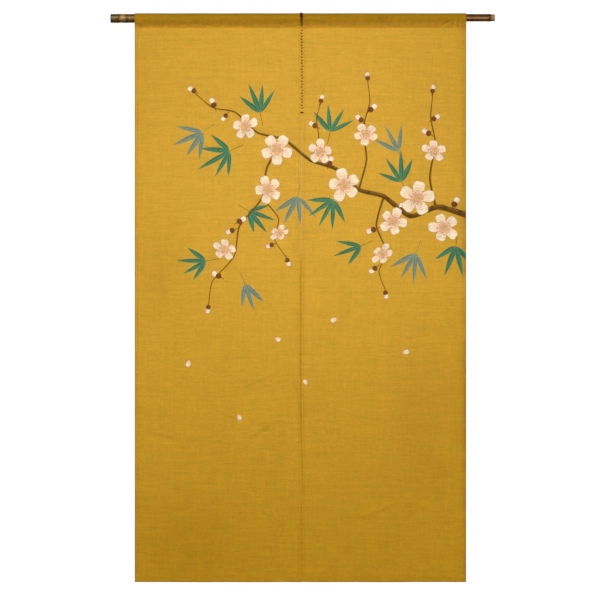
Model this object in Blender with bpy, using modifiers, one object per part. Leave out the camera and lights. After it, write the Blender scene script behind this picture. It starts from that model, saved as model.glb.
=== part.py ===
"""A noren: a doorway curtain of two linen panels that hang side by side on a bamboo rod.

Metres, +Z up. The origin is on the rod's axis at mid-length, where the two panels meet.
The front of the cloth faces -Y and +X is to the right as seen from the front.
"""

import math
from collections import namedtuple

import bmesh
import bpy

# The cloth
CLOTH_TOP_TO_HEM = 1.500
LEFT_PANEL_WIDTH = 0.443
RIGHT_PANEL_WIDTH = 0.431
CLOTH_THICKNESS = 0.0010
HEM_THICKNESS = 0.0018
SIDE_HEM_WIDTH = 0.009
BOTTOM_HEM_WIDTH = 0.010
HEM_STEP_WIDTH = 0.001

# The pocket, which the rod fills
POCKET_SEAM_DEPTH = 0.0228
FLAP_BELOW_SEAM = 0.0027
LAYER_GAP = 0.0003
POCKET_CLEARANCE = 0.00095
POCKET_TANGENT_ANGLE = math.radians(62)
SEAM_HANDLE = 0.0045
TANGENT_HANDLE = 0.0070

# The slit between the panels: sewn shut at the top, open below
SEWN_GAP = 0.0003
OPEN_GAP = 0.0009
SLIT_TOP_DEPTH = 0.262
SLIT_OPENING_LENGTH = 0.30
SLIT_PARTING_LENGTH = 0.60

# The rod
ROD_LENGTH = 1.013
ROD_RADIUS_LEFT = 0.0120
ROD_RADIUS_RIGHT = 0.0100
# Past its last joint the stem is thinner
ROD_TIP_RADIUS = 0.0089
ROD_WALL_LEFT = 0.0048
ROD_WALL_RIGHT = 0.0042
ROD_EDGE_BREAK = 0.0004
SEPTUM_SETBACK = 0.003
ROD_SIDES = 24

# How finely the curved faces are divided
PANEL_COLUMNS = 17
DROP_ROWS = 40
POCKET_ARC_STEPS = 10
POCKET_TANGENT_STEPS = 4

# Joints of the bamboo, along the rod from its left end to its right end
BAMBOO_JOINTS = (-0.484, -0.305, -0.118, 0.078, 0.280, 0.4925)
# Outline of one joint: distance along the rod, height above the stem
JointPoint = namedtuple("JointPoint", "along rise")
JOINT_OUTLINE = (
    JointPoint(-0.0060, 0.00000),
    JointPoint(-0.0022, 0.00030),
    JointPoint(0.0000, -0.00010),
    JointPoint(0.0018, 0.00025),
    JointPoint(0.0050, 0.00000),
)

# Below the pocket the cloth takes this far to loosen into its folds
LOOSENING_LENGTH = 0.30
# Folds and creases of the hanging cloth. Each runs from (x_top, depth_top) to (x_low, depth_low),
# depths measured down from the rod's axis. half_width is across it; forward is how far it stands
# out of the hanging plane, and is negative for a trough.
Fold = namedtuple("Fold", "x_top depth_top x_low depth_low half_width forward")
# A fold fades towards its ends: it is already a little raised there, and full after half its length
FOLD_END_SHARE = 0.25
FOLD_FADE_RATE = 1.6
FOLDS = (
    # Long soft folds of the left panel
    Fold(-0.437, 0.700, -0.440, 1.560, 0.022, -0.0024),
    Fold(-0.376, 0.640, -0.355, 1.560, 0.036, -0.0046),
    Fold(-0.272, 0.700, -0.257, 1.560, 0.040, 0.0048),
    Fold(-0.183, 0.640, -0.202, 1.560, 0.026, -0.0038),
    Fold(-0.107, 0.980, -0.088, 1.560, 0.032, 0.0042),
    Fold(-0.048, 0.860, -0.044, 1.560, 0.020, -0.0020),
    # Long soft folds of the right panel
    Fold(0.112, 0.330, 0.131, 1.560, 0.042, -0.0040),
    Fold(0.226, 0.640, 0.205, 1.560, 0.045, 0.0054),
    Fold(0.330, 0.500, 0.300, 1.560, 0.030, -0.0028),
    Fold(0.363, 0.760, 0.379, 1.560, 0.034, -0.0042),
    Fold(0.425, 0.480, 0.428, 1.560, 0.020, 0.0026),
    # Slanting creases, left where the cloth was folded away
    Fold(-0.173, 0.981, -0.078, 0.936, 0.017, 0.0016),
    Fold(-0.218, 1.034, -0.165, 1.060, 0.016, 0.0012),
    Fold(-0.120, 1.105, -0.067, 1.079, 0.016, -0.0012),
    Fold(-0.157, 1.245, -0.067, 1.351, 0.018, 0.0015),
    Fold(0.107, 1.324, 0.223, 1.280, 0.018, 0.0015),
    Fold(0.152, 0.593, 0.205, 0.545, 0.017, 0.0012),
)
# Broad unevenness of the whole cloth, as waves across it; drift is how far a wave moves to the
# right for each metre further down
Wave = namedtuple("Wave", "length forward start drift")
WAVES = (
    Wave(0.334, 0.0009, 0.020, 0.030),
    Wave(0.187, 0.0006, 0.071, -0.045),
)
# The pocket grips the rod a little unevenly
POCKET_WAVE_LENGTH = 0.137
POCKET_WAVE_HEIGHT = 0.00012
# The two edges of the slit part a little, one before the other
SLIT_EDGE_HALF_WIDTH = 0.020
SLIT_EDGE_FORWARD_LEFT = 0.0018
SLIT_EDGE_FORWARD_RIGHT = -0.0012

LINEN_HEX = "CB992D"
BAMBOO_HEX = "7A5A34"
LINEN_ROUGHNESS = 0.88
BAMBOO_ROUGHNESS = 0.42

ROD_TILT = math.atan((ROD_RADIUS_LEFT - ROD_RADIUS_RIGHT) / ROD_LENGTH)
# The two sheets meet at the seam with their inner faces half a layer gap from the mid-plane
HANG_Y = -(CLOTH_THICKNESS + LAYER_GAP / 2)
FLAP_EDGE_DEPTH = POCKET_SEAM_DEPTH + FLAP_BELOW_SEAM


def rod_radius(x):
    """Radius of the tapered stem at x."""
    share = x / ROD_LENGTH + 0.5
    return ROD_RADIUS_LEFT + (ROD_RADIUS_RIGHT - ROD_RADIUS_LEFT) * share


def rod_axis_height(x):
    """The thin end is raised, so that the top of the rod is level."""
    return x * math.tan(ROD_TILT)


TOP_Z = rod_radius(0) + POCKET_CLEARANCE + CLOTH_THICKNESS
HEM_Z = TOP_Z - CLOTH_TOP_TO_HEM


def smooth(value):
    """Ease from 0 to 1 with no slope at either end."""
    share = min(max(value, 0.0), 1.0)
    return share * share * (3 - 2 * share)


def bezier(start, start_handle, end_handle, end, share):
    """Point of a cubic curve in the YZ plane."""
    rest = 1 - share
    weights = (rest ** 3, 3 * rest * rest * share, 3 * rest * share * share, share ** 3)
    corners = (start, start_handle, end_handle, end)
    return tuple(sum(w * corner[axis] for w, corner in zip(weights, corners)) for axis in range(2))


def fold_height(fold, x, depth):
    """How far one fold pushes the cloth forward at a point of the hanging plane."""
    run_x = fold.x_low - fold.x_top
    run_depth = fold.depth_low - fold.depth_top
    length = math.hypot(run_x, run_depth)
    from_x = x - fold.x_top
    from_depth = depth - fold.depth_top
    along = (from_x * run_x + from_depth * run_depth) / length
    across = (from_x * run_depth - from_depth * run_x) / length
    fade_in = smooth(along / length * FOLD_FADE_RATE + FOLD_END_SHARE)
    fade_out = smooth((length - along) / length * FOLD_FADE_RATE + FOLD_END_SHARE)
    bell = math.exp(-(across / fold.half_width) ** 2)
    return fold.forward * bell * fade_in * fade_out


def wave_height(wave, x, depth):
    """How far one broad wave pushes the cloth forward."""
    return wave.forward * math.sin(2 * math.pi * (x - wave.start - wave.drift * depth) / wave.length)


def drape(x, z):
    """How far the cloth stands forward of its hanging plane, below the pocket."""
    depth = -z
    loosening = smooth((depth - FLAP_EDGE_DEPTH) / LOOSENING_LENGTH)
    folds = sum(fold_height(fold, x, depth) for fold in FOLDS)
    waves = sum(wave_height(wave, x, depth) for wave in WAVES)
    slit_share = smooth((depth - SLIT_TOP_DEPTH) / SLIT_PARTING_LENGTH)
    slit_bell = math.exp(-(x / SLIT_EDGE_HALF_WIDTH) ** 2)
    edge_forward = SLIT_EDGE_FORWARD_LEFT if x < 0 else SLIT_EDGE_FORWARD_RIGHT
    return (folds + waves) * loosening + edge_forward * slit_share * slit_bell


def slit_half_gap(z):
    """Half the distance between the two panels at height z."""
    opening = smooth((-z - SLIT_TOP_DEPTH) / SLIT_OPENING_LENGTH)
    return (SEWN_GAP + (OPEN_GAP - SEWN_GAP) * opening) / 2


def pocket_loop(x):
    """Outer face of the pocket at x, as (y, z) points.

    They run from the seam at the front, up over the rod and down to the flap's edge at the back.
    """
    centre_z = rod_axis_height(x)
    unevenness = POCKET_WAVE_HEIGHT * math.cos(2 * math.pi * x / POCKET_WAVE_LENGTH)
    radius = rod_radius(x) + POCKET_CLEARANCE + unevenness + CLOTH_THICKNESS
    sweep = math.pi - POCKET_TANGENT_ANGLE
    tangent_y = -radius * math.sin(POCKET_TANGENT_ANGLE)
    tangent_z = centre_z - radius * math.cos(POCKET_TANGENT_ANGLE)
    seam = (HANG_Y, -POCKET_SEAM_DEPTH)
    seam_handle = (HANG_Y, -POCKET_SEAM_DEPTH + SEAM_HANDLE)
    tangent_handle = (
        tangent_y + TANGENT_HANDLE * math.cos(POCKET_TANGENT_ANGLE),
        tangent_z - TANGENT_HANDLE * math.sin(POCKET_TANGENT_ANGLE),
    )
    front = [
        bezier(seam, seam_handle, tangent_handle, (tangent_y, tangent_z), step / POCKET_TANGENT_STEPS)
        for step in range(POCKET_TANGENT_STEPS)
    ]
    arc = []
    for step in range(POCKET_ARC_STEPS + 1):
        angle = sweep * (1 - 2 * step / POCKET_ARC_STEPS)
        arc.append((-radius * math.sin(angle), centre_z + radius * math.cos(angle)))
    back = [(-y, z) for y, z in reversed(front)]
    flap_edge = (-HANG_Y, -FLAP_EDGE_DEPTH)
    return front + arc + back + [flap_edge]


def drop_heights():
    """Heights of the rows below the pocket, from the hem up to just under the seam."""
    hem_top = HEM_Z + BOTTOM_HEM_WIDTH
    start = hem_top + HEM_STEP_WIDTH
    flap_edge = -FLAP_EDGE_DEPTH
    side_hem_start = flap_edge - 2 * HEM_STEP_WIDTH
    rows = [start + (side_hem_start - start) * step / DROP_ROWS for step in range(DROP_ROWS + 1)]
    return [HEM_Z, hem_top] + rows + [flap_edge]


def column_shares(width):
    """Places of the grid's columns across a panel, from 0 to 1, with the steps of both side hems."""
    hem = SIDE_HEM_WIDTH / width
    step = HEM_STEP_WIDTH / width
    first = hem + step
    inner = [first + (1 - 2 * first) * count / PANEL_COLUMNS for count in range(PANEL_COLUMNS + 1)]
    return [0.0, hem] + inner + [1 - hem, 1.0]


def make_material(name, hex_colour, roughness):
    """A plain surface of one colour, given as an sRGB hex value."""
    material = bpy.data.materials.new(name)
    material.use_nodes = True
    channels = [int(hex_colour[place:place + 2], 16) / 255 for place in (0, 2, 4)]
    linear = [c / 12.92 if c <= 0.04045 else ((c + 0.055) / 1.055) ** 2.4 for c in channels]
    shader = material.node_tree.nodes["Principled BSDF"]
    shader.inputs["Base Color"].default_value = (*linear, 1.0)
    shader.inputs["Roughness"].default_value = roughness
    shader.inputs["Metallic"].default_value = 0.0
    material.diffuse_color = (*linear, 1.0)
    return material


def make_panel(name, outer_x, material, collection, parent):
    """One panel of cloth: a flat grid, hung over the rod and given its thickness.

    outer_x is the panel's free side edge; its other edge is at the slit, on the same side of x = 0.
    """
    side = math.copysign(1.0, outer_x)
    heights = drop_heights()
    shares = column_shares(abs(outer_x))
    loop_length = len(pocket_loop(0.0))
    columns = len(shares) - 1
    rows = len(heights) + loop_length - 1

    sheet = bmesh.new()
    bmesh.ops.create_grid(sheet, x_segments=columns, y_segments=rows, size=1.0)
    layers = sheet.verts.layers.deform.verify()
    plain_weight = CLOTH_THICKNESS / HEM_THICKNESS
    for vertex in sheet.verts:
        column = round((vertex.co.x + 1) / 2 * columns)
        row = round((vertex.co.y + 1) / 2 * rows)
        share = shares[column]
        hanging = row < len(heights)
        z = heights[row] if hanging else 0.0
        slit_x = side * slit_half_gap(z)
        left_x, right_x = sorted((outer_x, slit_x))
        x = left_x + (right_x - left_x) * share
        if hanging:
            y = HANG_Y - drape(x, z)
        else:
            y, z = pocket_loop(x)[row - len(heights)]
        vertex.co = (x, y, z)
        on_side_hem = column in (0, 1, columns - 1, columns)
        on_bottom_hem = row < 2
        thick = hanging and row < len(heights) - 1 and (on_side_hem or on_bottom_hem)
        vertex[layers][0] = 1.0 if thick else plain_weight

    mesh = bpy.data.meshes.new(name)
    sheet.to_mesh(mesh)
    sheet.free()
    mesh.shade_smooth()
    mesh.materials.append(material)
    panel = bpy.data.objects.new(name, mesh)
    collection.objects.link(panel)
    panel.parent = parent
    group = panel.vertex_groups.new(name="thickness")
    thicken = panel.modifiers.new("Cloth thickness", "SOLIDIFY")
    thicken.thickness = HEM_THICKNESS
    thicken.offset = -1.0
    thicken.vertex_group = group.name
    return panel


def rod_profile():
    """Half outline of the bamboo, as (radius, place along the axis), from the right end to the left.

    Each end is a tube as far as the wall that closes the stem at its last joint.
    """
    half = ROD_LENGTH / 2
    right_bore = ROD_TIP_RADIUS - ROD_WALL_RIGHT
    left_bore = ROD_RADIUS_LEFT - ROD_WALL_LEFT
    right_septum = BAMBOO_JOINTS[-1] + SEPTUM_SETBACK
    left_septum = BAMBOO_JOINTS[0] - SEPTUM_SETBACK
    right_end = [
        (0.0, right_septum),
        (right_bore, right_septum),
        (right_bore, half),
        (ROD_TIP_RADIUS - ROD_EDGE_BREAK, half),
        (ROD_TIP_RADIUS, half - ROD_EDGE_BREAK),
        (ROD_TIP_RADIUS, BAMBOO_JOINTS[-1] + JOINT_OUTLINE[-1].along + ROD_EDGE_BREAK),
    ]
    joints = [
        (rod_radius(joint + point.along) + point.rise, joint + point.along)
        for joint in reversed(BAMBOO_JOINTS)
        for point in reversed(JOINT_OUTLINE)
    ]
    left_end = [
        (rod_radius(-half), -half + ROD_EDGE_BREAK),
        (rod_radius(-half) - ROD_EDGE_BREAK, -half),
        (left_bore, -half),
        (left_bore, left_septum),
        (0.0, left_septum),
    ]
    return right_end + joints + left_end


def make_rod(material, collection, parent):
    """The bamboo rod: its outline turned about the stem's axis, then laid along X."""
    outline = bmesh.new()
    corners = [outline.verts.new((radius, 0.0, along)) for radius, along in rod_profile()]
    for first, second in zip(corners, corners[1:]):
        outline.edges.new((first, second))
    mesh = bpy.data.meshes.new("bamboo_rod")
    outline.to_mesh(mesh)
    outline.free()
    mesh.materials.append(material)
    rod = bpy.data.objects.new("bamboo_rod", mesh)
    collection.objects.link(rod)
    rod.parent = parent
    rod.rotation_euler = (0.0, math.pi / 2 - ROD_TILT, 0.0)
    turn = rod.modifiers.new("Turned stem", "SCREW")
    turn.axis = "Z"
    turn.steps = ROD_SIDES
    turn.render_steps = ROD_SIDES
    turn.use_merge_vertices = True
    turn.merge_threshold = 0.00001
    turn.use_smooth_shade = True
    return rod


def main():
    for leftover in list(bpy.data.objects):
        bpy.data.objects.remove(leftover, do_unlink=True)

    collection = bpy.data.collections.new("noren_curtain")
    bpy.context.scene.collection.children.link(collection)
    rod_axis = bpy.data.objects.new("rod_axis", None)
    collection.objects.link(rod_axis)

    linen = make_material("mustard_linen", LINEN_HEX, LINEN_ROUGHNESS)
    bamboo = make_material("smoked_bamboo", BAMBOO_HEX, BAMBOO_ROUGHNESS)
    make_panel("left_panel", -LEFT_PANEL_WIDTH, linen, collection, rod_axis)
    make_panel("right_panel", RIGHT_PANEL_WIDTH, linen, collection, rod_axis)
    make_rod(bamboo, collection, rod_axis)


main()
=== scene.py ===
"""Looks of a noren: mustard linen with a painted plum branch, sewn by hand, on a smoked bamboo rod."""
import math
from collections import namedtuple

import bpy
import numpy as np
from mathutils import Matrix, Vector, noise
from mathutils.geometry import delaunay_2d_cdt


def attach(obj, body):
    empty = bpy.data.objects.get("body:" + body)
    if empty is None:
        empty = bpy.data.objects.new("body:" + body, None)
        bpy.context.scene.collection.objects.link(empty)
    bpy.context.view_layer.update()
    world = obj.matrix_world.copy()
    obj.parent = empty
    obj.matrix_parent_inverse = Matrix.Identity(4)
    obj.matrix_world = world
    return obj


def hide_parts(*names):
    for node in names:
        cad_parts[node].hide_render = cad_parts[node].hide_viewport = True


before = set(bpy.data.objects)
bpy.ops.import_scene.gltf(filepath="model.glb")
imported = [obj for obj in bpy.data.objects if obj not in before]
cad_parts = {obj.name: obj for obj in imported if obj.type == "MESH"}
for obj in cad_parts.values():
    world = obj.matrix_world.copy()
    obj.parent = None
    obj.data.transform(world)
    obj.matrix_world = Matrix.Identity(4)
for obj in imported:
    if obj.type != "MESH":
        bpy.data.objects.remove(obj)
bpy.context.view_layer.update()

MM = 0.001

# The photograph's view: 600 pixels across, at the scale that makes the cloth 1.5 m tall
FRAME_PIXELS = 600
METRES_PER_PIXEL = 0.0026373
PHOTO_ORIGIN_X = 302.73
PHOTO_ORIGIN_Y = 18.24
CAMERA_DISTANCE = 6.0

# The cloth of the solids, with the pocket from its seam up to where it leaves the rod and round it
SOLID_THICKNESS = 1.0 * MM
LAYER_GAP = 0.3 * MM
SIDE_HEM_WIDTH = 9 * MM
BOTTOM_HEM_WIDTH = 10 * MM
HEM_STEP_WIDTH = 0.6 * MM
LEFT_EDGE_X = -0.443
RIGHT_EDGE_X = 0.431
TOP_Z = 12.95 * MM
HEM_Z = TOP_Z - 1.5
POCKET_SEAM_Z = -22.8 * MM
FLAP_BELOW_SEAM = 2.7 * MM
POCKET_CLEARANCE = 0.95 * MM
POCKET_TANGENT_ANGLE = math.radians(62)
SEAM_HANDLE = 4.5 * MM
TANGENT_HANDLE = 7.0 * MM
POCKET_RUN = 19.8 * MM
POCKET_WAVE_LENGTH = 0.137
POCKET_WAVE_HEIGHT = 0.12 * MM
LOOSENING_LENGTH = 0.30

# The thin sheets here, which lie flat where the pocket is sewn
CLOTH_THICKNESS = 0.7 * MM
HEM_THICKNESS = 1.3 * MM
SEAM_EASE = 2 * MM
SEWN_FLAT = 3.2 * MM
SEWN_FLAT_EASE = 1.5 * MM

# How the two panels meet: sewn, then edge to edge, then the left one over the right
SEWN_GAP = 0.02 * MM
SLIT_OVERLAP = 1.0 * MM
SLIT_GAP = 0.17 * MM
SLIT_TOP_DEPTH = 0.262
SLIT_PARTING_DEPTH = 0.60
SLIT_LAPPING_DEPTH = 0.64
SLIT_PARTING_LENGTH = 0.06
SLIT_EDGE_HALF_WIDTH = 20 * MM
SLIT_EDGE_FORWARD_LEFT = 1.5 * MM
SLIT_EDGE_FORWARD_RIGHT = -0.8 * MM

# The rod, as in the solids
ROD_LENGTH = 1.013
ROD_RADIUS_LEFT = 12.0 * MM
ROD_RADIUS_RIGHT = 10.0 * MM
ROD_TIP_RADIUS = 8.9 * MM
ROD_BORE_LEFT = 7.2 * MM
ROD_BORE_RIGHT = 4.7 * MM
BAMBOO_JOINTS = (-0.484, -0.305, -0.118, 0.078, 0.280, 0.4925)

# How finely the cloth is divided
CLOTH_PITCH = 6.5 * MM
POCKET_PITCH = 2.3 * MM
POCKET_CREASE_PITCH = 1.7 * MM
CREASE_PITCH = 2.4 * MM
CREASE_HALF_WIDTH_MOST = 12 * MM
MERGE_DISTANCE = 0.01 * MM

# How much light the hems keep back, and how much more the back of the pocket gives
SIDE_HEM_SHADE = 0.02
FOOT_HEM_SHADE = 0.35
POCKET_BACK_LIGHT = 1.6

# Painted shade drawn as deeper dye: how dark along each edge and in a strip by the right edge, how uneven,
# and where it fades; then how uneven the soft darker patches are, and their grain
OUTER_EDGE_SHADE = 0.24
OUTER_EDGE_UNEVEN = 0.5
OUTER_EDGE_DEEPENS = 0.6
SLIT_EDGE_SHADE = 0.22
SLIT_EDGE_UNEVEN = 1.8
SLIT_EDGE_LEAST = 0.1
SLIT_FADES_DEPTH = 1.02
SLIT_FADES_LENGTH = 0.16
SLIT_FADES_SHARE = 0.72
EDGE_SHADE_GRAIN = 12 * MM
RIGHT_STRIP_SHADE = 0.15
RIGHT_STRIP_WIDTH = 30 * MM
RIGHT_STRIP_UNEVEN = 1.6
PATCH_UNEVEN = 0.5
PATCH_GRAIN_X = 50 * MM
PATCH_GRAIN_Z = 40 * MM

# Painted light: the pocket's cloth drawn paler, and more so below the rod
POCKET_PAINTED_LIGHT = 0.03
RUN_PAINTED_LIGHT = 0.13
RUN_PAINTED_LIGHT_END = 19 * MM
RUN_PAINTED_LIGHT_EASE = 11 * MM

# Worked out from the sizes above
HANG_Y = -(SOLID_THICKNESS + LAYER_GAP / 2)
FLAP_Y = HANG_Y + 2 * CLOTH_THICKNESS + 0.05 * MM
ROD_SLOPE = (ROD_RADIUS_LEFT - ROD_RADIUS_RIGHT) / ROD_LENGTH
POCKET_SWEEP = math.pi - POCKET_TANGENT_ANGLE
POCKET_MEAN_RADIUS = (ROD_RADIUS_LEFT + ROD_RADIUS_RIGHT) / 2 + POCKET_CLEARANCE + SOLID_THICKNESS
POCKET_ARC = 2 * POCKET_SWEEP * POCKET_MEAN_RADIUS
POCKET_LOOP = 2 * POCKET_RUN + POCKET_ARC
CLOTH_TOP_V = POCKET_SEAM_Z + POCKET_LOOP + FLAP_BELOW_SEAM

# Folds: each runs from (x_top, depth_top) to (x_low, depth_low) in metres; forward is negative for a trough
Fold = namedtuple("Fold", "x_top depth_top x_low depth_low half_width forward")
FOLD_END_SHARE = 0.25
FOLD_FADE_RATE = 1.6
FOLDS = (
    # Long soft folds of the left panel
    Fold(-0.437, 0.700, -0.440, 1.560, 0.022, -0.0024),
    Fold(-0.376, 0.640, -0.355, 1.560, 0.036, -0.0046),
    Fold(-0.272, 0.700, -0.257, 1.560, 0.040, 0.0048),
    Fold(-0.183, 0.640, -0.202, 1.560, 0.026, -0.0038),
    Fold(-0.107, 0.980, -0.088, 1.560, 0.032, 0.0042),
    Fold(-0.048, 0.860, -0.044, 1.560, 0.020, -0.0020),
    # Long soft folds of the right panel
    Fold(0.112, 0.330, 0.131, 1.560, 0.042, -0.0040),
    Fold(0.226, 0.640, 0.205, 1.560, 0.045, 0.0054),
    Fold(0.330, 0.500, 0.300, 1.560, 0.030, -0.0028),
    Fold(0.363, 0.760, 0.379, 1.560, 0.034, -0.0042),
    Fold(0.425, 0.480, 0.428, 1.560, 0.020, 0.0026),
    # Slanting creases, left where the cloth was folded away
    Fold(-0.179, 0.978, -0.083, 0.938, 0.0065, 0.0034),
    Fold(-0.232, 1.020, -0.164, 1.062, 0.0060, 0.0028),
    Fold(-0.150, 1.120, -0.062, 1.064, 0.0065, -0.0028),
    Fold(-0.425, 1.094, -0.311, 1.120, 0.0070, -0.0030),
    Fold(-0.142, 1.250, -0.030, 1.372, 0.0070, 0.0028),
    Fold(0.107, 1.332, 0.268, 1.268, 0.0070, 0.0030),
    Fold(0.152, 0.593, 0.205, 0.545, 0.0080, 0.0016),
    Fold(-0.187, 0.800, -0.190, 0.965, 0.0070, -0.0016),
    # Small creases that start at the slit
    Fold(0.008, 0.888, 0.122, 0.896, 0.0050, 0.0014),
    Fold(0.008, 0.934, 0.104, 0.928, 0.0050, -0.0015),
    Fold(0.008, 1.000, 0.131, 0.992, 0.0052, 0.0015),
    Fold(-0.012, 1.066, -0.070, 1.058, 0.0050, 0.0014),
    Fold(0.008, 1.060, 0.116, 1.072, 0.0056, -0.0017),
    Fold(0.008, 1.278, 0.090, 1.300, 0.0056, 0.0014),
)
Wave = namedtuple("Wave", "length forward start drift")
WAVES = (
    Wave(0.334, 0.0009, 0.020, 0.030),
    Wave(0.187, 0.0006, 0.071, -0.045),
)

# The outer edges curl back a little
EDGE_CURL_WIDTH = 42 * MM
EDGE_CURL_BACK_LEFT = 1.2 * MM
EDGE_CURL_BACK_RIGHT = 4.5 * MM

# Creases where the pocket is pulled tight on the rod; run is the length of cloth past the seam
Crease = namedtuple("Crease", "x run deep half_width")
POCKET_CREASES = (
    (Crease(0.364, 0.0005, 0.0011, 0.0036), Crease(0.372, 0.0060, 0.0028, 0.0036),
     Crease(0.382, 0.0135, 0.0030, 0.0036), Crease(0.398, 0.0200, 0.0018, 0.0036),
     Crease(0.424, 0.0215, 0.0007, 0.0036)),
    (Crease(-0.060, 0.0010, 0.0006, 0.0036), Crease(-0.050, 0.0110, 0.0008, 0.0040),
     Crease(-0.045, 0.0230, 0.0003, 0.0050)),
)

# Puckers of the pocket
PUCKER_HEIGHT = 2.4 * MM
PUCKER_LOWEST = -0.38
PUCKER_LENGTH = 9 * MM
PUCKER_RUN = 24 * MM
PUCKER_END = 0.45
PUCKER_EASE_IN = 4 * MM
PUCKER_EASE_OUT = 14 * MM
FINE_PUCKER_SHARE = 0.4
FINE_PUCKER_SIZE = 2.3
PRESSED_ON_ROD = 1.05 * MM

# Soft darker patches on the cloth
DarkPatch = namedtuple("DarkPatch", "x depth half_width half_height deep")
DARK_PATCHES = (
    DarkPatch(0.350, 1.060, 0.120, 0.210, 0.08),
    DarkPatch(-0.310, 1.400, 0.170, 0.120, 0.12),
    DarkPatch(-0.370, 0.660, 0.070, 0.120, 0.07),
)

# Where the panels really meet, which wanders to the left of the straight line
Stop = namedtuple("Stop", "depth x")
SEAM_LINE = (
    Stop(-0.020, -0.0034), Stop(0.030, -0.0026), Stop(0.200, -0.0021), Stop(0.262, -0.0021),
    Stop(0.500, -0.0040), Stop(0.740, -0.0052), Stop(0.940, -0.0058), Stop(1.080, -0.0042),
    Stop(1.200, -0.0012), Stop(1.320, -0.0042), Stop(1.420, -0.0022), Stop(1.500, -0.0050),
)


def smooth(value):
    """Ease from 0 to 1 with no slope at either end."""
    share = min(max(value, 0.0), 1.0)
    return share * share * (3 - 2 * share)


def mix(first, second, share):
    """Blend of two equal-length tuples."""
    return tuple(a + (b - a) * share for a, b in zip(first, second))


def linear(hex_colour):
    """An sRGB hex value as linear red, green and blue."""
    channels = [int(hex_colour[place:place + 2], 16) / 255 for place in (0, 2, 4)]
    return tuple(c / 12.92 if c <= 0.04045 else ((c + 0.055) / 1.055) ** 2.4 for c in channels)


def curve_through(points, steps, pull):
    """A finer row of points on a curve through the given ones; pull is how strongly they steer it."""
    path = []
    last = len(points) - 1
    for place in range(last):
        before, start, end, after = (points[min(max(place + k, 0), last)] for k in (-1, 0, 1, 2))
        for step in range(steps):
            t = step / steps
            path.append(
                start * (2 * t ** 3 - 3 * t ** 2 + 1) + (end - before) * pull * (t ** 3 - 2 * t ** 2 + t)
                + end * (3 * t ** 2 - 2 * t ** 3) + (after - start) * pull * (t ** 3 - t ** 2)
            )
    return path + [points[-1]]


def cubic_curve(corners, share):
    """Point and direction of travel at a share of the way along a curve with four corners in a plane."""
    rest = 1 - share
    weights = (rest ** 3, 3 * rest * rest * share, 3 * rest * share * share, share ** 3)
    slopes = (
        -3 * rest * rest,
        3 * rest * rest - 6 * rest * share,
        6 * rest * share - 3 * share * share,
        3 * share * share,
    )
    point, travel = (
        tuple(sum(f * c[axis] for f, c in zip(factors, corners)) for axis in range(2))
        for factors in (weights, slopes)
    )
    return point, travel


# The shape in which the cloth hangs

def fold_height(fold, x, depth):
    """How far one fold pushes the cloth forward at a point of the hanging plane."""
    run_x = fold.x_low - fold.x_top
    run_depth = fold.depth_low - fold.depth_top
    length = math.hypot(run_x, run_depth)
    from_x = x - fold.x_top
    from_depth = depth - fold.depth_top
    across = (from_x * run_depth - from_depth * run_x) / length
    if abs(across) > 3 * fold.half_width:
        return 0.0
    along = (from_x * run_x + from_depth * run_depth) / length
    fade_in = smooth(along / length * FOLD_FADE_RATE + FOLD_END_SHARE)
    fade_out = smooth((length - along) / length * FOLD_FADE_RATE + FOLD_END_SHARE)
    return fold.forward * math.exp(-(across / fold.half_width) ** 2) * fade_in * fade_out


def drape(x, z, side):
    """How far one side's cloth stands forward of its hanging plane, below the pocket."""
    depth = -z
    loosening = smooth((depth + POCKET_SEAM_Z - FLAP_BELOW_SEAM) / LOOSENING_LENGTH)
    height = sum(fold_height(fold, x, depth) for fold in FOLDS)
    for wave in WAVES:
        turn = 2 * math.pi * (x - wave.start - wave.drift * depth) / wave.length
        height += wave.forward * math.sin(turn)
    if side < 0:
        edge_x, curl_back, edge_forward = LEFT_EDGE_X, EDGE_CURL_BACK_LEFT, SLIT_EDGE_FORWARD_LEFT
    else:
        edge_x, curl_back, edge_forward = RIGHT_EDGE_X, EDGE_CURL_BACK_RIGHT, SLIT_EDGE_FORWARD_RIGHT
    curl = max(0.0, 1 - abs(edge_x - x) / EDGE_CURL_WIDTH)
    height -= curl_back * curl * curl
    slit_share = smooth((depth - SLIT_PARTING_DEPTH) / SLIT_PARTING_LENGTH)
    slit_bell = math.exp(-((x - seam_x(depth)) / SLIT_EDGE_HALF_WIDTH) ** 2)
    return height * loosening + edge_forward * slit_share * slit_bell


def seam_x(depth):
    """x of the line on which the panels meet."""
    for start, end in zip(SEAM_LINE, SEAM_LINE[1:]):
        if depth < end.depth:
            return start.x + (end.x - start.x) * smooth((depth - start.depth) / (end.depth - start.depth))
    return SEAM_LINE[-1].x


def hung_x(x, v, outer_x):
    """x at which a point of the flat cloth hangs: edge to edge above, the left edge over the right below."""
    gap = SEWN_GAP + (SLIT_GAP - SEWN_GAP) * smooth((-v - SLIT_TOP_DEPTH) / SLIT_PARTING_LENGTH)
    lapping = smooth((-v - SLIT_LAPPING_DEPTH) / SLIT_PARTING_LENGTH)
    off_seam = (gap - lapping * (gap + SLIT_OVERLAP)) / 2
    edge = seam_x(-v) + math.copysign(1.0, outer_x) * off_seam
    return edge + x * (1 - edge / outer_x)


def rod_radius(x):
    """Radius of the tapered stem at x."""
    return ROD_RADIUS_LEFT + (ROD_RADIUS_RIGHT - ROD_RADIUS_LEFT) * (x / ROD_LENGTH + 0.5)


def pocket_radius(x):
    """Outer radius of the pocket where it lies on the rod, with its slow waves."""
    wave = POCKET_WAVE_HEIGHT * math.cos(2 * math.pi * x / POCKET_WAVE_LENGTH)
    return rod_radius(x) + POCKET_CLEARANCE + wave + SOLID_THICKNESS


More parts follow.
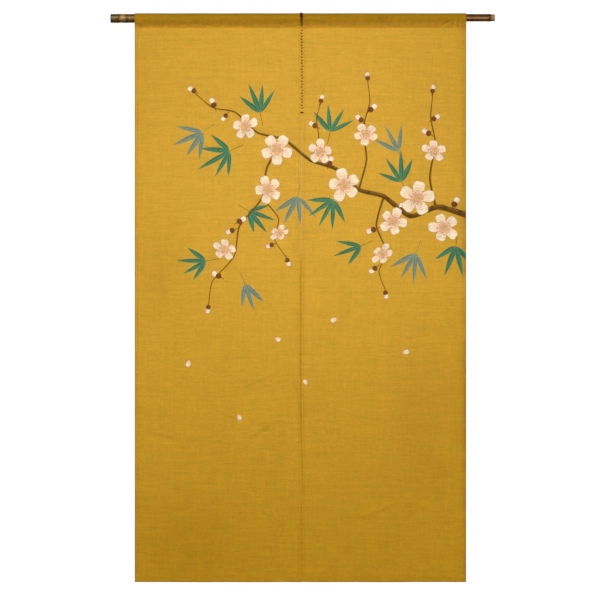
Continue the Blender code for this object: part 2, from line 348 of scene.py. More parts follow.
def pocket_run_point(x, share, seam_y):
    """Point and direction of travel on the run from the seam (0) up to the rod (1), as (y, z) pairs.

    It is worked out for the front; the back run is its mirror with its own seam_y.
    """
    across, up = math.sin(POCKET_TANGENT_ANGLE), math.cos(POCKET_TANGENT_ANGLE)
    radius = pocket_radius(x)
    end = (-radius * across, x * ROD_SLOPE - radius * up)
    corners = (
        (seam_y, POCKET_SEAM_Z),
        (seam_y, POCKET_SEAM_Z + SEAM_HANDLE),
        (end[0] + TANGENT_HANDLE * up, end[1] - TANGENT_HANDLE * across),
        end,
    )
    return cubic_curve(corners, share)


def crease_depth(crease, x, run):
    """How far a pocket crease presses the cloth in at a point."""
    deepest = 0.0
    for start, end in zip(crease, crease[1:]):
        length_x, length_run = end.x - start.x, end.run - start.run
        reached = (x - start.x) * length_x + (run - start.run) * length_run
        along = min(max(reached / (length_x ** 2 + length_run ** 2), 0.0), 1.0)
        off = math.hypot(x - start.x - along * length_x, run - start.run - along * length_run)
        deep, half_width = mix(start[2:], end[2:], along)
        deepest = max(deepest, deep * math.exp(-(off / half_width) ** 2))
    return deepest


def pocket_unevenness(x, run):
    """How far the pocket's front stands proud of its smooth shape: puckers and creases."""
    end = POCKET_RUN + POCKET_ARC * PUCKER_END
    if run > end:
        return 0.0
    pucker = noise.noise(Vector((x / PUCKER_LENGTH, run / PUCKER_RUN, 7.0)))
    fine_place = Vector((x / PUCKER_LENGTH * FINE_PUCKER_SIZE, run / PUCKER_RUN, 3.0))
    pucker = max(pucker + FINE_PUCKER_SHARE * noise.noise(fine_place), PUCKER_LOWEST)
    held = smooth(run / PUCKER_EASE_IN) * smooth((end - run) / PUCKER_EASE_OUT)
    creased = sum(crease_depth(crease, x, run) for crease in POCKET_CREASES)
    proud = pucker * PUCKER_HEIGHT * held - creased * smooth(run / SEAM_EASE)
    # The rod stops the cloth from going in any further; below the rod there is more room
    room_below = max(POCKET_RUN - run, 0.0) ** 2 / (2 * ROD_RADIUS_LEFT)
    return max(proud, -(PRESSED_ON_ROD + room_below))


def pocket_surface(x, run):
    """Outer face of the pocket, run metres of cloth past the front seam: position and normal."""
    if run < POCKET_RUN:
        (y, z), (travel_y, travel_z) = pocket_run_point(x, run / POCKET_RUN, HANG_Y)
    elif run < POCKET_RUN + POCKET_ARC:
        radius = pocket_radius(x)
        angle = POCKET_SWEEP * (1 - 2 * (run - POCKET_RUN) / POCKET_ARC)
        y = -radius * math.sin(angle)
        z = x * ROD_SLOPE + radius * math.cos(angle)
        travel_y, travel_z = math.cos(angle), math.sin(angle)
    elif run < POCKET_LOOP:
        share = (POCKET_LOOP - run) / POCKET_RUN
        (y, z), (travel_y, travel_z) = pocket_run_point(x, share, -FLAP_Y)
        y, travel_z = -y, -travel_z
    else:
        y, z = FLAP_Y, POCKET_SEAM_Z - (run - POCKET_LOOP)
        travel_y, travel_z = 0.0, -1.0
    return Vector((x, y, z)), Vector((0.0, -travel_z, travel_y)).normalized()


def uneven_pocket(x, run):
    """The pocket's outer face with its puckers and creases: position and normal."""
    position, normal = pocket_surface(x, run)
    step = 0.5 * MM
    proud = pocket_unevenness(x, run)
    slope_x = (pocket_unevenness(x + step, run) - proud) / step
    slope_run = (pocket_unevenness(x, run + step) - proud) / step
    travel = Vector((0.0, normal.z, -normal.y))
    tilted = (normal - Vector((slope_x, 0.0, 0.0)) - travel * slope_run).normalized()
    return position + normal * proud, tilted


def cloth_surface(x, v, side):
    """Outer face of one side's cloth (-1 left, 1 right) at x and v: its position and outward normal.

    v is z where the cloth hangs, and runs on from the seam by the length of cloth in the pocket.
    """
    if v > POCKET_SEAM_Z:
        return uneven_pocket(x, v - POCKET_SEAM_Z)
    step = 1 * MM
    height = drape(x, v, side)
    slope_x = (drape(x + step, v, side) - drape(x - step, v, side)) / (2 * step)
    slope_z = (drape(x, v + step, side) - drape(x, v - step, side)) / (2 * step)
    normal = Vector((-slope_x, -1.0, -slope_z)).normalized()
    return Vector((x, HANG_Y - height, v)), normal


def hem_shares(x, v, outer_x):
    """Share of hem, with a short step to the single layer, for the sides and for the foot."""
    from_side = min(abs(x - outer_x), abs(x))
    from_foot = v - HEM_Z
    side = 1 - smooth((from_side - SIDE_HEM_WIDTH) / HEM_STEP_WIDTH)
    foot = 1 - smooth((from_foot - BOTTOM_HEM_WIDTH) / HEM_STEP_WIDTH)
    return side, foot


def light_share(x, v, outer_x):
    """How much of the light behind the cloth comes through, as a share of what a single layer lets in."""
    side, foot = hem_shares(x, v, outer_x)
    if v > POCKET_SEAM_Z + POCKET_RUN + POCKET_ARC * 0.5:
        return POCKET_BACK_LIGHT
    return 1 - max(side * SIDE_HEM_SHADE, foot * FOOT_HEM_SHADE)


def from_edge(x, v, outer_x):
    """Distance to the nearer long edge."""
    return min(abs(x), abs(outer_x - x))


def painted_edge_shade(x, v, outer_x):
    """Painted shade along the nearer long edge, drawn as deeper dye: evenly outside, in patches at the slit.
    """
    unevenness = noise.noise(Vector((0.0, v / EDGE_SHADE_GRAIN, math.copysign(3.0, outer_x))))
    if abs(x) > abs(outer_x - x):
        return OUTER_EDGE_SHADE * (1 + OUTER_EDGE_UNEVEN * unevenness) * (1 - OUTER_EDGE_DEEPENS * v)
    shows = smooth((-v - SLIT_PARTING_DEPTH) / SLIT_PARTING_LENGTH)
    shows -= SLIT_FADES_SHARE * smooth((-v - SLIT_FADES_DEPTH) / SLIT_FADES_LENGTH)
    return SLIT_EDGE_SHADE * shows * max(SLIT_EDGE_LEAST, 1 + SLIT_EDGE_UNEVEN * unevenness)


def patches_and_strip_shade(x, v, outer_x):
    """Where the cloth is darker: a few large soft patches, and a strip of painted shade along the right edge.
    """
    if v > POCKET_SEAM_Z:
        return 0.0
    unevenness = noise.noise(Vector((x / PATCH_GRAIN_X, v / PATCH_GRAIN_Z, 5.0)))
    deep = 0.0
    for dark_patch in DARK_PATCHES:
        off = math.hypot((x - dark_patch.x) / dark_patch.half_width, (-v - dark_patch.depth) / dark_patch.half_height)
        deep += dark_patch.deep * math.exp(-off * off) * (1 + PATCH_UNEVEN * unevenness)
    # Painted shade: a darker strip along the right edge
    if outer_x > 0:
        share = max(0.0, 1 - (outer_x - x) / RIGHT_STRIP_WIDTH)
        deep += RIGHT_STRIP_SHADE * share * share * max(0.0, 1 + RIGHT_STRIP_UNEVEN * unevenness)
    return deep


def pocket_painted_light(x, v, outer_x):
    """Painted light: how much paler the cloth of the pocket is drawn, most of all in front and below the rod.
    """
    run = v - POCKET_SEAM_Z
    below_rod = smooth((RUN_PAINTED_LIGHT_END - run) / RUN_PAINTED_LIGHT_EASE)
    return smooth(run / SEAM_EASE) * (POCKET_PAINTED_LIGHT + RUN_PAINTED_LIGHT * below_rod)


# What the cloth's mesh carries for its material, and how each is worked out
MEASURES = {
    "lets_through": light_share,
    "from_edge": from_edge,
    # Painted shade along the edges; a strip of painted shade by the right edge with the soft darker patches;
    # painted light on the pocket
    "painted_edge_shade": painted_edge_shade,
    "patches_and_strip_shade": patches_and_strip_shade,
    "pocket_painted_light": pocket_painted_light,
}


def thickness(x, v, outer_x):
    """Thickness of the cloth, which is kept thin where the pocket's two sheets are sewn together."""
    from_seam = min(abs(v - POCKET_SEAM_Z), abs(v - POCKET_SEAM_Z - POCKET_LOOP))
    clear_of_seam = smooth((from_seam - SEWN_FLAT) / SEWN_FLAT_EASE)
    if v > POCKET_SEAM_Z + POCKET_LOOP:
        clear_of_seam = 0.0
    extra = max(hem_shares(x, v, outer_x)) * clear_of_seam
    return CLOTH_THICKNESS + (HEM_THICKNESS - CLOTH_THICKNESS) * extra


# The painted design: a plum branch with bamboo leaves, in flat shapes that cover one another

Shape = namedtuple("Shape", "outline paint")
Spot = namedtuple("Spot", "x z")

CREAM = linear("FFFAEE")
SHELL = linear("FCEADC")
BLUSH = linear("F2BFA6")
ROSE = linear("DE8F73")
PETAL_LINE = linear("D9A98C")
STAMEN = linear("F3DC9A")
ANTHER = linear("B98A2E")
CALYX = linear("7C3B2C")
VIRIDIAN = linear("1C967A")
VIRIDIAN_DEEP = linear("13705A")
LEAF_VEIN = linear("8FBFA0")
SHADOW_BLUE = linear("86A39A")
SHADOW_BLUE_DEEP = linear("6C8C88")
BARK = linear("7A4A1C")
BARK_DARK = linear("4E2C12")
BARK_LIGHT = linear("A8753A")

LEAF_DYES = {
    "green": (VIRIDIAN, VIRIDIAN_DEEP, LEAF_VEIN),
    "blue": (SHADOW_BLUE, SHADOW_BLUE_DEEP, mix(SHADOW_BLUE, CREAM, 0.35)),
}

# Branches: rows of x, z and width in millimetres from thick to thin
BRANCHES = (
    # Shoot over the right panel
    (
        (352, -500, 6.0), (336, -420, 4.8), (350, -330, 3.8), (338, -262, 3.0), (344, -196, 2.0),
    ),
    # Inner shoot
    (
        (150, -452, 5.4), (170, -372, 4.4), (160, -292, 3.4), (178, -222, 2.6), (172, -164, 1.8),
    ),
    # Short shoot beside the slit
    (
        (22, -374, 4.2), (44, -318, 3.2), (38, -266, 2.4), (50, -222, 1.7),
    ),
    # Lower twig of the right panel
    (
        (216, -470, 5.2), (196, -546, 4.2), (222, -612, 3.2), (204, -668, 2.4), (220, -716, 1.6),
    ),
    # Drooping twig of the left panel
    (
        (-46, -320, 6.2), (-92, -394, 5.4), (-104, -474, 4.6), (-164, -548, 3.9),
        (-178, -628, 3.2), (-236, -694, 2.5), (-246, -756, 1.8),
    ),
    # Side twig of the left panel
    (
        (-104, -474, 3.6), (-60, -528, 2.9), (-70, -584, 2.3), (-38, -632, 1.7),
    ),
    # Main branch
    (
        (446, -524, 15.5), (392, -506, 14.6), (352, -498, 13.6), (284, -522, 12.4), (216, -470, 11.4),
        (150, -452, 10.2), (92, -398, 9.2), (22, -374, 8.2), (-46, -320, 6.8), (-118, -302, 5.2),
        (-176, -248, 4.0), (-236, -236, 3.0), (-286, -196, 2.0),
    ),
)

# Open blossoms: centre and radius in millimetres, turn in degrees, how far it is seen from the
# side (1 is face on), and the direction that it leans in
Blossom = namedtuple("Blossom", "x z radius turn facing lean")
BLOSSOMS = (
    Blossom(-204, -610, 33, 10, 0.80, 60),
    Blossom(-88, -452, 38, 40, 0.92, 20),
    Blossom(-58, -566, 27, 5, 0.72, 110),
    Blossom(-150, -286, 36, 22, 0.86, 150),
    Blossom(-66, -346, 42, 55, 1.00, 0),
    Blossom(48, -352, 35, 12, 0.88, 40),
    Blossom(112, -440, 43, 30, 1.00, 0),
    Blossom(168, -306, 34, 48, 0.84, 95),
    Blossom(212, -622, 31, 0, 0.78, 130),
    Blossom(240, -536, 37, 66, 0.95, 10),
    Blossom(346, -350, 33, 18, 0.86, 70),
    Blossom(372, -552, 40, 36, 0.94, 35),
    Blossom(302, -474, 46, 8, 1.00, 0),
)

# Buds: centre, radius and the direction in degrees in which they point
Bud = namedtuple("Bud", "x z radius points")
BUDS = (
    Bud(344, -186, 10, 80), Bud(352, -262, 11, 30), Bud(326, -300, 12, 150), Bud(172, -152, 10, 95),
    Bud(186, -236, 12, 40), Bud(150, -264, 11, 140), Bud(52, -212, 10, 70), Bud(28, -280, 11, 150),
    Bud(-292, -188, 11, 150), Bud(-236, -222, 12, 110), Bud(-206, -262, 10, 230), Bud(-248, -768, 10, 260),
    Bud(-226, -676, 12, 150), Bud(-158, -532, 12, 30), Bud(-190, -562, 11, 200), Bud(-34, -644, 10, 290),
    Bud(-84, -600, 10, 200), Bud(222, -730, 10, 280), Bud(188, -664, 11, 220), Bud(182, -560, 12, 200),
    Bud(404, -484, 13, 60), Bud(262, -498, 12, 80), Bud(76, -376, 12, 70),
)

# Sprays of bamboo leaves: foot, the direction in degrees in which they hang, length of the longest
# leaf, how many leaves, and their dye
Spray = namedtuple("Spray", "x z points length leaves dye")
SPRAYS = (
    Spray(-262, -300, 215, 88, 4, "blue"),
    Spray(-8, -470, 262, 84, 4, "blue"),
    Spray(300, -620, 250, 86, 4, "blue"),
    Spray(254, -352, 120, 80, 3, "blue"),
    Spray(-150, -700, 290, 74, 3, "blue"),
    Spray(404, -600, 262, 84, 4, "green"),
    Spray(262, -432, 112, 82, 4, "green"),
    Spray(84, -478, 240, 86, 5, "green"),
    Spray(74, -300, 78, 78, 4, "green"),
    Spray(-110, -250, 100, 84, 4, "green"),
    Spray(-190, -350, 205, 92, 5, "green"),
    Spray(-140, -508, 330, 76, 4, "green"),
    Spray(-252, -640, 190, 78, 4, "green"),
    Spray(158, -600, 205, 74, 3, "green"),
)

# Petals that have come off: centre, length and direction
Petal = namedtuple("Petal", "x z length points")
FALLEN_PETALS = (
    Petal(96, -792, 19, 200), Petal(-70, -842, 18, 330), Petal(-296, -900, 20, 250),
    Petal(264, -884, 19, 20), Petal(18, -968, 17, 120), Petal(-168, -1044, 18, 290),
)


def shape_at(points, place, degrees, paint, squash=1.0, lean=0.0):
    """A shape given in its own axes, turned by degrees, flattened along lean, and put at a place."""
    cos_turn, sin_turn = math.cos(math.radians(degrees)), math.sin(math.radians(degrees))
    cos_lean, sin_lean = math.cos(math.radians(lean)), math.sin(math.radians(lean))
    placed = []
    for a, b in points:
        across = a * cos_turn - b * sin_turn
        up = a * sin_turn + b * cos_turn
        along = (across * cos_lean + up * sin_lean) * squash
        beside = -across * sin_lean + up * cos_lean
        placed.append((
            place.x + along * cos_lean - beside * sin_lean, place.z + along * sin_lean + beside * cos_lean
        ))
    return Shape(placed, paint)


def spot_from(place, degrees, distance):
    """The spot at a distance from a place, in a direction."""
    angle = math.radians(degrees)
    return Spot(place.x + distance * math.cos(angle), place.z + distance * math.sin(angle))


def both_sides(side):
    """An outline from its one side, mirrored across its long axis."""
    return side + [(a, -b) for a, b in reversed(side[1:-1])]


def petal_outline(length, half_width, steps=8):
    """A round petal along +a from its foot at (0, 0), both sides from one cubic curve."""
    corners = (
        (0.05 * length, 0.0), (0.22 * length, 0.98 * half_width),
        (1.10 * length, 1.72 * half_width), (length, 0.0),
    )
    return both_sides([cubic_curve(corners, step / steps)[0] for step in range(steps + 1)])


def leaf_outline(length, half_width, steps=7):
    """A narrow leaf along +a: widest a third of the way up, drawn out to a fine tip."""
    side = []
    for step in range(steps + 1):
        t = step / steps
        swell = math.sin(math.pi * t ** 0.72) ** 0.9 if 0 < t < 1 else 0.0
        side.append((length * t, half_width * swell))
    return both_sides(side)


def disc_outline(radius, steps=10):
    """A round outline about (0, 0)."""
    angles = [2 * math.pi * step / steps for step in range(steps)]
    return [(radius * math.cos(angle), radius * math.sin(angle)) for angle in angles]


def flat(colour):
    """Paint of one colour."""
    return lambda x, z: colour


def from_centre(place, radius, inner, middle, outer):
    """Paint that changes from a place outwards through three colours."""
    def paint(x, z):
        share = min(math.hypot(x - place.x, z - place.z) / radius, 1.0)
        if share < 0.45:
            return mix(inner, middle, smooth(share / 0.45))
        return mix(middle, outer, smooth((share - 0.45) / 0.5))
    return paint


def streaky(base, other, size, seed):
    """Paint that wanders between two colours, as a loaded brush leaves it."""
    def paint(x, z):
        value = noise.noise(Vector((x / size, z / size, seed)))
        return mix(base, other, smooth(0.5 + 0.9 * value))
    return paint


def blossom_shapes(blossom):
    """Five round petals, their lines, the stamens and the middle of one open blossom."""
    shapes = []
    radius = blossom.radius
    half_width = radius * 0.335
    wash = from_centre(blossom, radius, ROSE, SHELL, CREAM)
    centre_wash = from_centre(blossom, radius * 0.55, ROSE, BLUSH, SHELL)

    def add(points, direction, paint):
        shapes.append(shape_at(points, blossom, direction, paint, blossom.facing, blossom.lean))

    for place in (0, 2, 4, 1, 3):
        direction = blossom.turn + 72 * place
        length = radius * (1 + 0.06 * math.sin(3.1 * place + blossom.x))
        for inset, paint in ((0.0, flat(PETAL_LINE)), (1.1, wash)):
            add(petal_outline(length - inset, half_width - inset * 0.62), direction, paint)
        add(petal_outline(radius * 0.52, half_width * 0.42, 5), direction, centre_wash)
    for count in range(15):
        direction = blossom.turn + 24 * count + 7 * math.sin(count * 2.3)
        reach = radius * (0.40 + 0.09 * math.sin(count * 1.9 + blossom.z))
        add([(0, -0.45), (reach, -0.35), (reach, 0.35), (0, 0.45)], direction, flat(STAMEN))
        add([(reach + a, b) for a, b in disc_outline(1.35, 6)], direction, flat(ANTHER))
    shapes.append(shape_at(disc_outline(radius * 0.10), blossom, 0, flat(mix(STAMEN, VIRIDIAN, 0.25))))
    return shapes


def bud_shapes(bud):
    """A round bud with two petals showing, in its cup on a short stalk."""
    radius = bud.radius
    stalk = [(-radius * 2.0, -0.9), (-radius * 0.6, -1.1), (-radius * 0.6, 1.1), (-radius * 2.0, 0.9)]
    cup = [(a * 0.62 - radius * 0.62, b * 0.66) for a, b in disc_outline(radius, 10)]
    petal = [(a - radius, b) for a, b in petal_outline(radius * 2.1, radius * 0.66, 7)]
    inner = [(a * 0.86, b * 0.80) for a, b in petal]
    fold = [(a * 0.78 + 0.5, b * 0.42 + radius * 0.22) for a, b in petal]
    tip = spot_from(bud, bud.points, radius)
    rows = (
        (stalk, flat(BARK)),
        (petal, flat(PETAL_LINE)),
        (inner, from_centre(tip, radius * 2.0, CREAM, SHELL, ROSE)),
        (fold, from_centre(tip, radius * 2.0, CREAM, CREAM, BLUSH)),
        (cup, flat(CALYX)),
    )
    return [shape_at(points, bud, bud.points, paint) for points, paint in rows]


def leaf_shapes(foot, direction, length, half_width, dye, seed):
    """One leaf: its rim, its body, a darker half and a pale vein."""
    body, shade, vein = LEAF_DYES[dye]
    outline = leaf_outline(length, half_width)
    rim = [(a * 1.012 - length * 0.006, b * (1 + 0.55 / half_width)) for a, b in outline]
    lower = [(a, b) for a, b in outline if b <= 0.0]
    low, high = length * 0.04, length * 0.90
    rows = (
        (rim, flat(vein)),
        (outline, streaky(body, mix(body, shade, 0.6), 24, seed)),
        (lower, streaky(mix(body, shade, 0.5), shade, 24, seed + 3)),
        ([(low, -0.35), (high, -0.12), (high, 0.12), (low, 0.35)], flat(vein)),
    )
    return [shape_at(points, foot, direction, paint) for points, paint in rows]


def spray_shapes(spray, seed):
    """Leaves that fan out from the end of a fine stalk."""
    stem_dye = BARK if spray.dye == "green" else SHADOW_BLUE_DEEP
    stem = [(-spray.length * 0.42, -0.7), (2, -0.6), (2, 0.6), (-spray.length * 0.42, 0.7)]
    shapes = [shape_at(stem, spray, spray.points, flat(stem_dye))]
    for count in range(spray.leaves):
        from_middle = count - (spray.leaves - 1) / 2
        direction = spray.points + 31 * from_middle + 5 * math.sin(seed * 3.7 + count)
        length = spray.length * (1 - 0.13 * abs(from_middle)) * (1 + 0.07 * math.sin(seed + 2.1 * count))
        half_width = 6.4 * (0.9 + 0.12 * math.sin(seed * 1.3 + count))
        foot = spot_from(spray, direction, 2.0)
        shapes += leaf_shapes(foot, direction, length, half_width, spray.dye, seed + count)
    return shapes


def strip(rows, upper, lower):
    """Outline along a route, from the share upper of its half width on one side to lower on the other."""
    first_side, second_side = [], []
    for place, (x, z, width) in enumerate(rows):
        ahead = rows[min(place + 1, len(rows) - 1)]
        behind = rows[max(place - 1, 0)]
        run = Vector((ahead[0] - behind[0], ahead[1] - behind[1])).normalized()
        normal = Vector((-run.y, run.x))
        rough = 1 + 0.16 * noise.noise(Vector((x / 9, z / 9, 4.0)))
        half = width / 2 * rough
        first_side.append((x + normal.x * half * upper, z + normal.y * half * upper))
        second_side.append((x + normal.x * half * lower, z + normal.y * half * lower))
    return first_side + second_side[::-1]


def branch_shapes(route, seed):
    """A branch: its bark, a dark underside, a light top and the marks of old buds."""
    rows = curve_through([np.array(row) for row in route], 5, 0.32)
    shapes = [Shape(strip(rows, 1.0, -1.0), streaky(BARK, BARK_DARK, 16, seed))]
    goes_left = rows[-1][0] < rows[0][0]
    dark_side, light_side = ((0.25, 1.0), (-0.75, -0.2)) if goes_left else ((-0.25, -1.0), (0.75, 0.2))
    shapes.append(Shape(strip(rows, *dark_side), streaky(BARK_DARK, BARK, 30, seed + 2)))
    shapes.append(Shape(strip(rows[1:-2], *light_side), streaky(BARK_LIGHT, BARK, 12, seed + 5)))
    for place in range(3, len(rows) - 2, 4):
        x, z, width = rows[place]
        knot = [(a * 1.5, b) for a, b in disc_outline(width * 0.34, 8)]
        shapes.append(shape_at(knot, Spot(x, z), 25 * place, flat(BARK_DARK)))
    return shapes


def fallen_petal_shapes(petal):
    """A petal that has come off, with its line."""
    wash = from_centre(petal, petal.length, BLUSH, SHELL, CREAM)
    shapes = []
    for inset, paint in ((0.0, flat(PETAL_LINE)), (1.0, wash)):
        outline = petal_outline(petal.length - inset, petal.length * 0.32 - inset * 0.6)
        shapes.append(shape_at(outline, petal, petal.points, paint))
    return shapes


def painted_shapes():
    """All shapes of the design in the order in which they cover one another, in millimetres."""
    shapes = []
    for seed, spray in enumerate(SPRAYS):
        shapes += spray_shapes(spray, seed)
    for seed, route in enumerate(BRANCHES):
        shapes += branch_shapes(route, seed * 7)
    for table, make in ((BUDS, bud_shapes), (BLOSSOMS, blossom_shapes), (FALLEN_PETALS, fallen_petal_shapes)):
        for row in table:
            shapes += make(row)
    return shapes


# The cloth's mesh; the design shows more weakly on the back, and bare cloth carries a stand-in dye

BACK_STRENGTH = 0.62
BARE_DYE = (0.5, 0.3, 0.1)


def inside(outline, points):
    """Which of the points lie inside an outline, by how often it winds round them."""
    corners = np.array(outline)
    low, high = corners.min(axis=0), corners.max(axis=0)
    near = np.nonzero(((points >= low) & (points <= high)).all(axis=1))[0]
    windings = np.zeros(len(near), dtype=int)
    x, z = points[near].T
    for (ax, az), (bx, bz) in zip(corners, np.roll(corners, -1, axis=0)):
        if az == bz:
            continue
        beside = (bx - ax) * (z - az) - (x - ax) * (bz - az)
        windings += (az <= z) & (z < bz) & (beside > 0)
        windings -= (bz <= z) & (z < az) & (beside < 0)
    return near[windings != 0]


def divided(start, end, pitch):
    """Even steps from start to end, no longer than pitch, without the end itself."""
    count = max(1, math.ceil(abs(end - start) / pitch))
    return [start + (end - start) * step / count for step in range(count)]


def grid_lines(stops, pitches):
    """Lines between the given stops, with a pitch for each stretch."""
    lines = []
    for start, end, pitch in zip(stops, stops[1:], pitches):
        lines += divided(start, end, pitch)
    return lines + [stops[-1]]


def pocket_crease_points(crease):
    """A patch of closer points along a pocket crease."""
    reach = 3 * max(place.half_width for place in crease)
    across = grid_lines((crease[0].x - reach, crease[-1].x + reach), (POCKET_CREASE_PITCH,))
    up = grid_lines((max(crease[0].run - reach, 0.001), crease[-1].run + reach), (POCKET_CREASE_PITCH,))
    return [Vector((x, POCKET_SEAM_Z + run)) for run in up for x in across]


def crease_points(fold):
    """Closer points along a narrow crease of the hanging cloth."""
    start = Vector((fold.x_top, -fold.depth_top))
    run = Vector((fold.x_low, -fold.depth_low)) - start
    beside = Vector((-run.y, run.x)).normalized()
    reach = 2.2 * fold.half_width
    along = grid_lines((0.0, 1.0), (CREASE_PITCH * 2 / run.length,))
    across = grid_lines((-reach, reach), (CREASE_PITCH,))
    return [start + run * share + beside * off for share in along for off in across]


def cloth_grid(outer_x):
    """Points of the bare cloth: close at the hems' steps, in the pocket and along the creases."""
    side = math.copysign(1.0, outer_x)
    width = abs(outer_x)
    hem, step = SIDE_HEM_WIDTH, HEM_STEP_WIDTH
    across = grid_lines(
        (0.0, hem, hem + step, width - hem - step, width - hem, width),
        (CLOTH_PITCH, step, CLOTH_PITCH, step, CLOTH_PITCH),
    )
    foot = HEM_Z + BOTTOM_HEM_WIDTH
    up = grid_lines(
        (HEM_Z, foot, foot + step, POCKET_SEAM_Z - 6 * MM, POCKET_SEAM_Z, CLOTH_TOP_V),
        (CLOTH_PITCH / 2, step, CLOTH_PITCH, 1.5 * MM, POCKET_PITCH),
    )
    points = [Vector((side * x, v)) for v in up for x in across]
    between = [side * (a + b) / 2 for a, b in zip(across[2:], across[3:-2])]
    points += [Vector((x, v)) for v in up if v > POCKET_SEAM_Z for x in between]
    low_x, high_x = sorted((0.0, outer_x))
    for crease in POCKET_CREASES:
        if low_x < crease[0].x < high_x:
            points += pocket_crease_points(crease)
    for fold in FOLDS:
        if fold.half_width < CREASE_HALF_WIDTH_MOST:
            points += [p for p in crease_points(fold) if low_x + hem < p.x < high_x - hem]
    return points


def cut_cloth(outer_x, shapes):
    """The flat cloth with the design's outlines cut into it: points, triangles and each one's shape.

    The slit edge is at x = 0 here, and moves to the real seam when the cloth is hung.
    """
    low_x, high_x = sorted((0.0, outer_x))
    points = cloth_grid(outer_x)
    edges = []
    here = []
    for shape in shapes:
        outline = [(x * MM, z * MM) for x, z in shape.outline]
        if max(x for x, _ in outline) > low_x and min(x for x, _ in outline) < high_x:
            here.append(Shape(outline, shape.paint))
    border = [(low_x, HEM_Z), (high_x, HEM_Z), (high_x, CLOTH_TOP_V), (low_x, CLOTH_TOP_V)]
    for outline in [shape.outline for shape in here] + [border]:
        start, count = len(points), len(outline)
        points += [Vector(point) for point in outline]
        edges += [(start + k, start + (k + 1) % count) for k in range(count)]
    flat_points, _, triangles, *_ = delaunay_2d_cdt(points, edges, [], 0, MERGE_DISTANCE, False)
    triangles = np.array(triangles)
    centres = np.array([tuple(point) for point in flat_points])[triangles].mean(axis=1)
    cloth = ((centres > (low_x, HEM_Z)) & (centres < (high_x, CLOTH_TOP_V))).all(axis=1)
    triangles, centres = triangles[cloth], centres[cloth]
    covers = [None] * len(triangles)
    for shape in here:
        for place in inside(shape.outline, centres):
            covers[place] = shape
    return flat_points, triangles.tolist(), covers


def dye_cloth(mesh, places, covers):
    """Gives the mesh its flat map, the colours of the design, and how strongly each face shows it."""
    mesh.uv_layers.new(name="flat")
    mesh.color_attributes.new("dye", "FLOAT_COLOR", "CORNER")
    mesh.attributes.new("painted", "FLOAT", "CORNER")
    uv_values, dye_values, mask_values = [], [], []
    for polygon, (cover, strength) in zip(mesh.polygons, covers):
        for vertex in polygon.vertices:
            x, v = places[vertex % len(places)]
            uv_values += (x, v)
            dye_values += (*(cover.paint(x / MM, v / MM) if cover else BARE_DYE), 1.0)
            mask_values.append(strength if cover else 0.0)
    mesh.uv_layers["flat"].data.foreach_set("uv", uv_values)
    mesh.color_attributes["dye"].data.foreach_set("color", dye_values)
    mesh.attributes["painted"].data.foreach_set("value", mask_values)


def hang_cloth(name, outer_x, shapes, material):
    """One panel: cut flat, hung on the solid's folds, and given its back and its edges."""
    flat_points, triangles, covers = cut_cloth(outer_x, shapes)
    used = sorted({corner for face in triangles for corner in face})
    place_of = {old: new for new, old in enumerate(used)}
    places = [tuple(flat_points[old]) for old in used]
    fronts, backs = [], []
    for x, v in places:
        position, normal = cloth_surface(hung_x(x, v, outer_x), v, math.copysign(1.0, outer_x))
        fronts.append(position)
        backs.append(position - normal * thickness(x, v, outer_x))
    count = len(places)
    faces = [tuple(place_of[c] for c in face) for face in triangles]
    sides = dict.fromkeys((a, b) for face in faces for a, b in zip(face, face[1:] + face[:1]))
    rim = [(b, a, a + count, b + count) for a, b in sides if (b, a) not in sides]
    back_faces = [tuple(c + count for c in reversed(face)) for face in faces]
    mesh = bpy.data.meshes.new(name)
    mesh.from_pydata(fronts + backs, [], faces + back_faces + rim)
    painted = [(cover, 1.0) for cover in covers] + [(cover, BACK_STRENGTH) for cover in covers]
    dye_cloth(mesh, places, painted + [(None, 0.0)] * len(rim))
    for measure, measured in MEASURES.items():
        values = [measured(x, v, outer_x) for x, v in places]
        mesh.attributes.new(measure, "FLOAT", "POINT").data.foreach_set("value", values + values)
    mesh.shade_smooth()
    mesh.set_sharp_from_angle(angle=math.radians(55))
    mesh.materials.append(material)
    mesh.validate()
    return link(bpy.data.objects.new(name, mesh))


def link(thing):
    """Puts an object in the scene."""
    bpy.context.scene.collection.objects.link(thing)
    return thing


# Thread

MACHINE_PITCH = 3.4 * MM
MACHINE_LENGTH = 2.7 * MM
MACHINE_RADIUS = 0.24 * MM
MACHINE_PROUD = 0.05 * MM
SEAM_INSET = 7.6 * MM
STITCHES_FROM_EDGE = 2 * MM
LONG_ROW_STEPS = 220
SHORT_ROW_STEPS = 72


def add_node(tree, kind, settings=None, **inputs):
    """Adds a node with its settings. An input, by its name or _number, is a value or a node's output."""
    made = tree.nodes.new(kind)
    for name, value in (settings or {}).items():
        setattr(made, name, value)
    for name, value in inputs.items():
        if name[1:].isdigit():
            socket = made.inputs[int(name[1:])]
        else:
            socket = next(s for s in made.inputs if s.enabled and s.name == name.replace("_", " "))
        if isinstance(value, bpy.types.NodeSocket):
            tree.links.new(value, socket)
        else:
            socket.default_value = value
    return made


def path_mesh(name, paths):
    """Polylines as one mesh of edges, for the thread and stitch trees."""
    mesh = bpy.data.meshes.new(name)
    points, edges = [], []
    for path in paths:
        start = len(points)
        points += path
        edges += [(start + k, start + k + 1) for k in range(len(path) - 1)]
    mesh.from_pydata(points, edges, [])
    return link(bpy.data.objects.new(name, mesh))


def tree_with_inputs(name, inputs):
    """A geometry tree with a Path input, the given number inputs and a Mesh output."""
    tree = bpy.data.node_groups.new(name, "GeometryNodeTree")
    tree.interface.new_socket("Path", in_out="INPUT", socket_type="NodeSocketGeometry")
    for label, value in inputs.items():
        socket = tree.interface.new_socket(label, in_out="INPUT", socket_type="NodeSocketFloat")
        socket.default_value = value
    tree.interface.new_socket("Mesh", in_out="OUTPUT", socket_type="NodeSocketGeometry")
    return tree, tree.nodes.new("NodeGroupInput").outputs


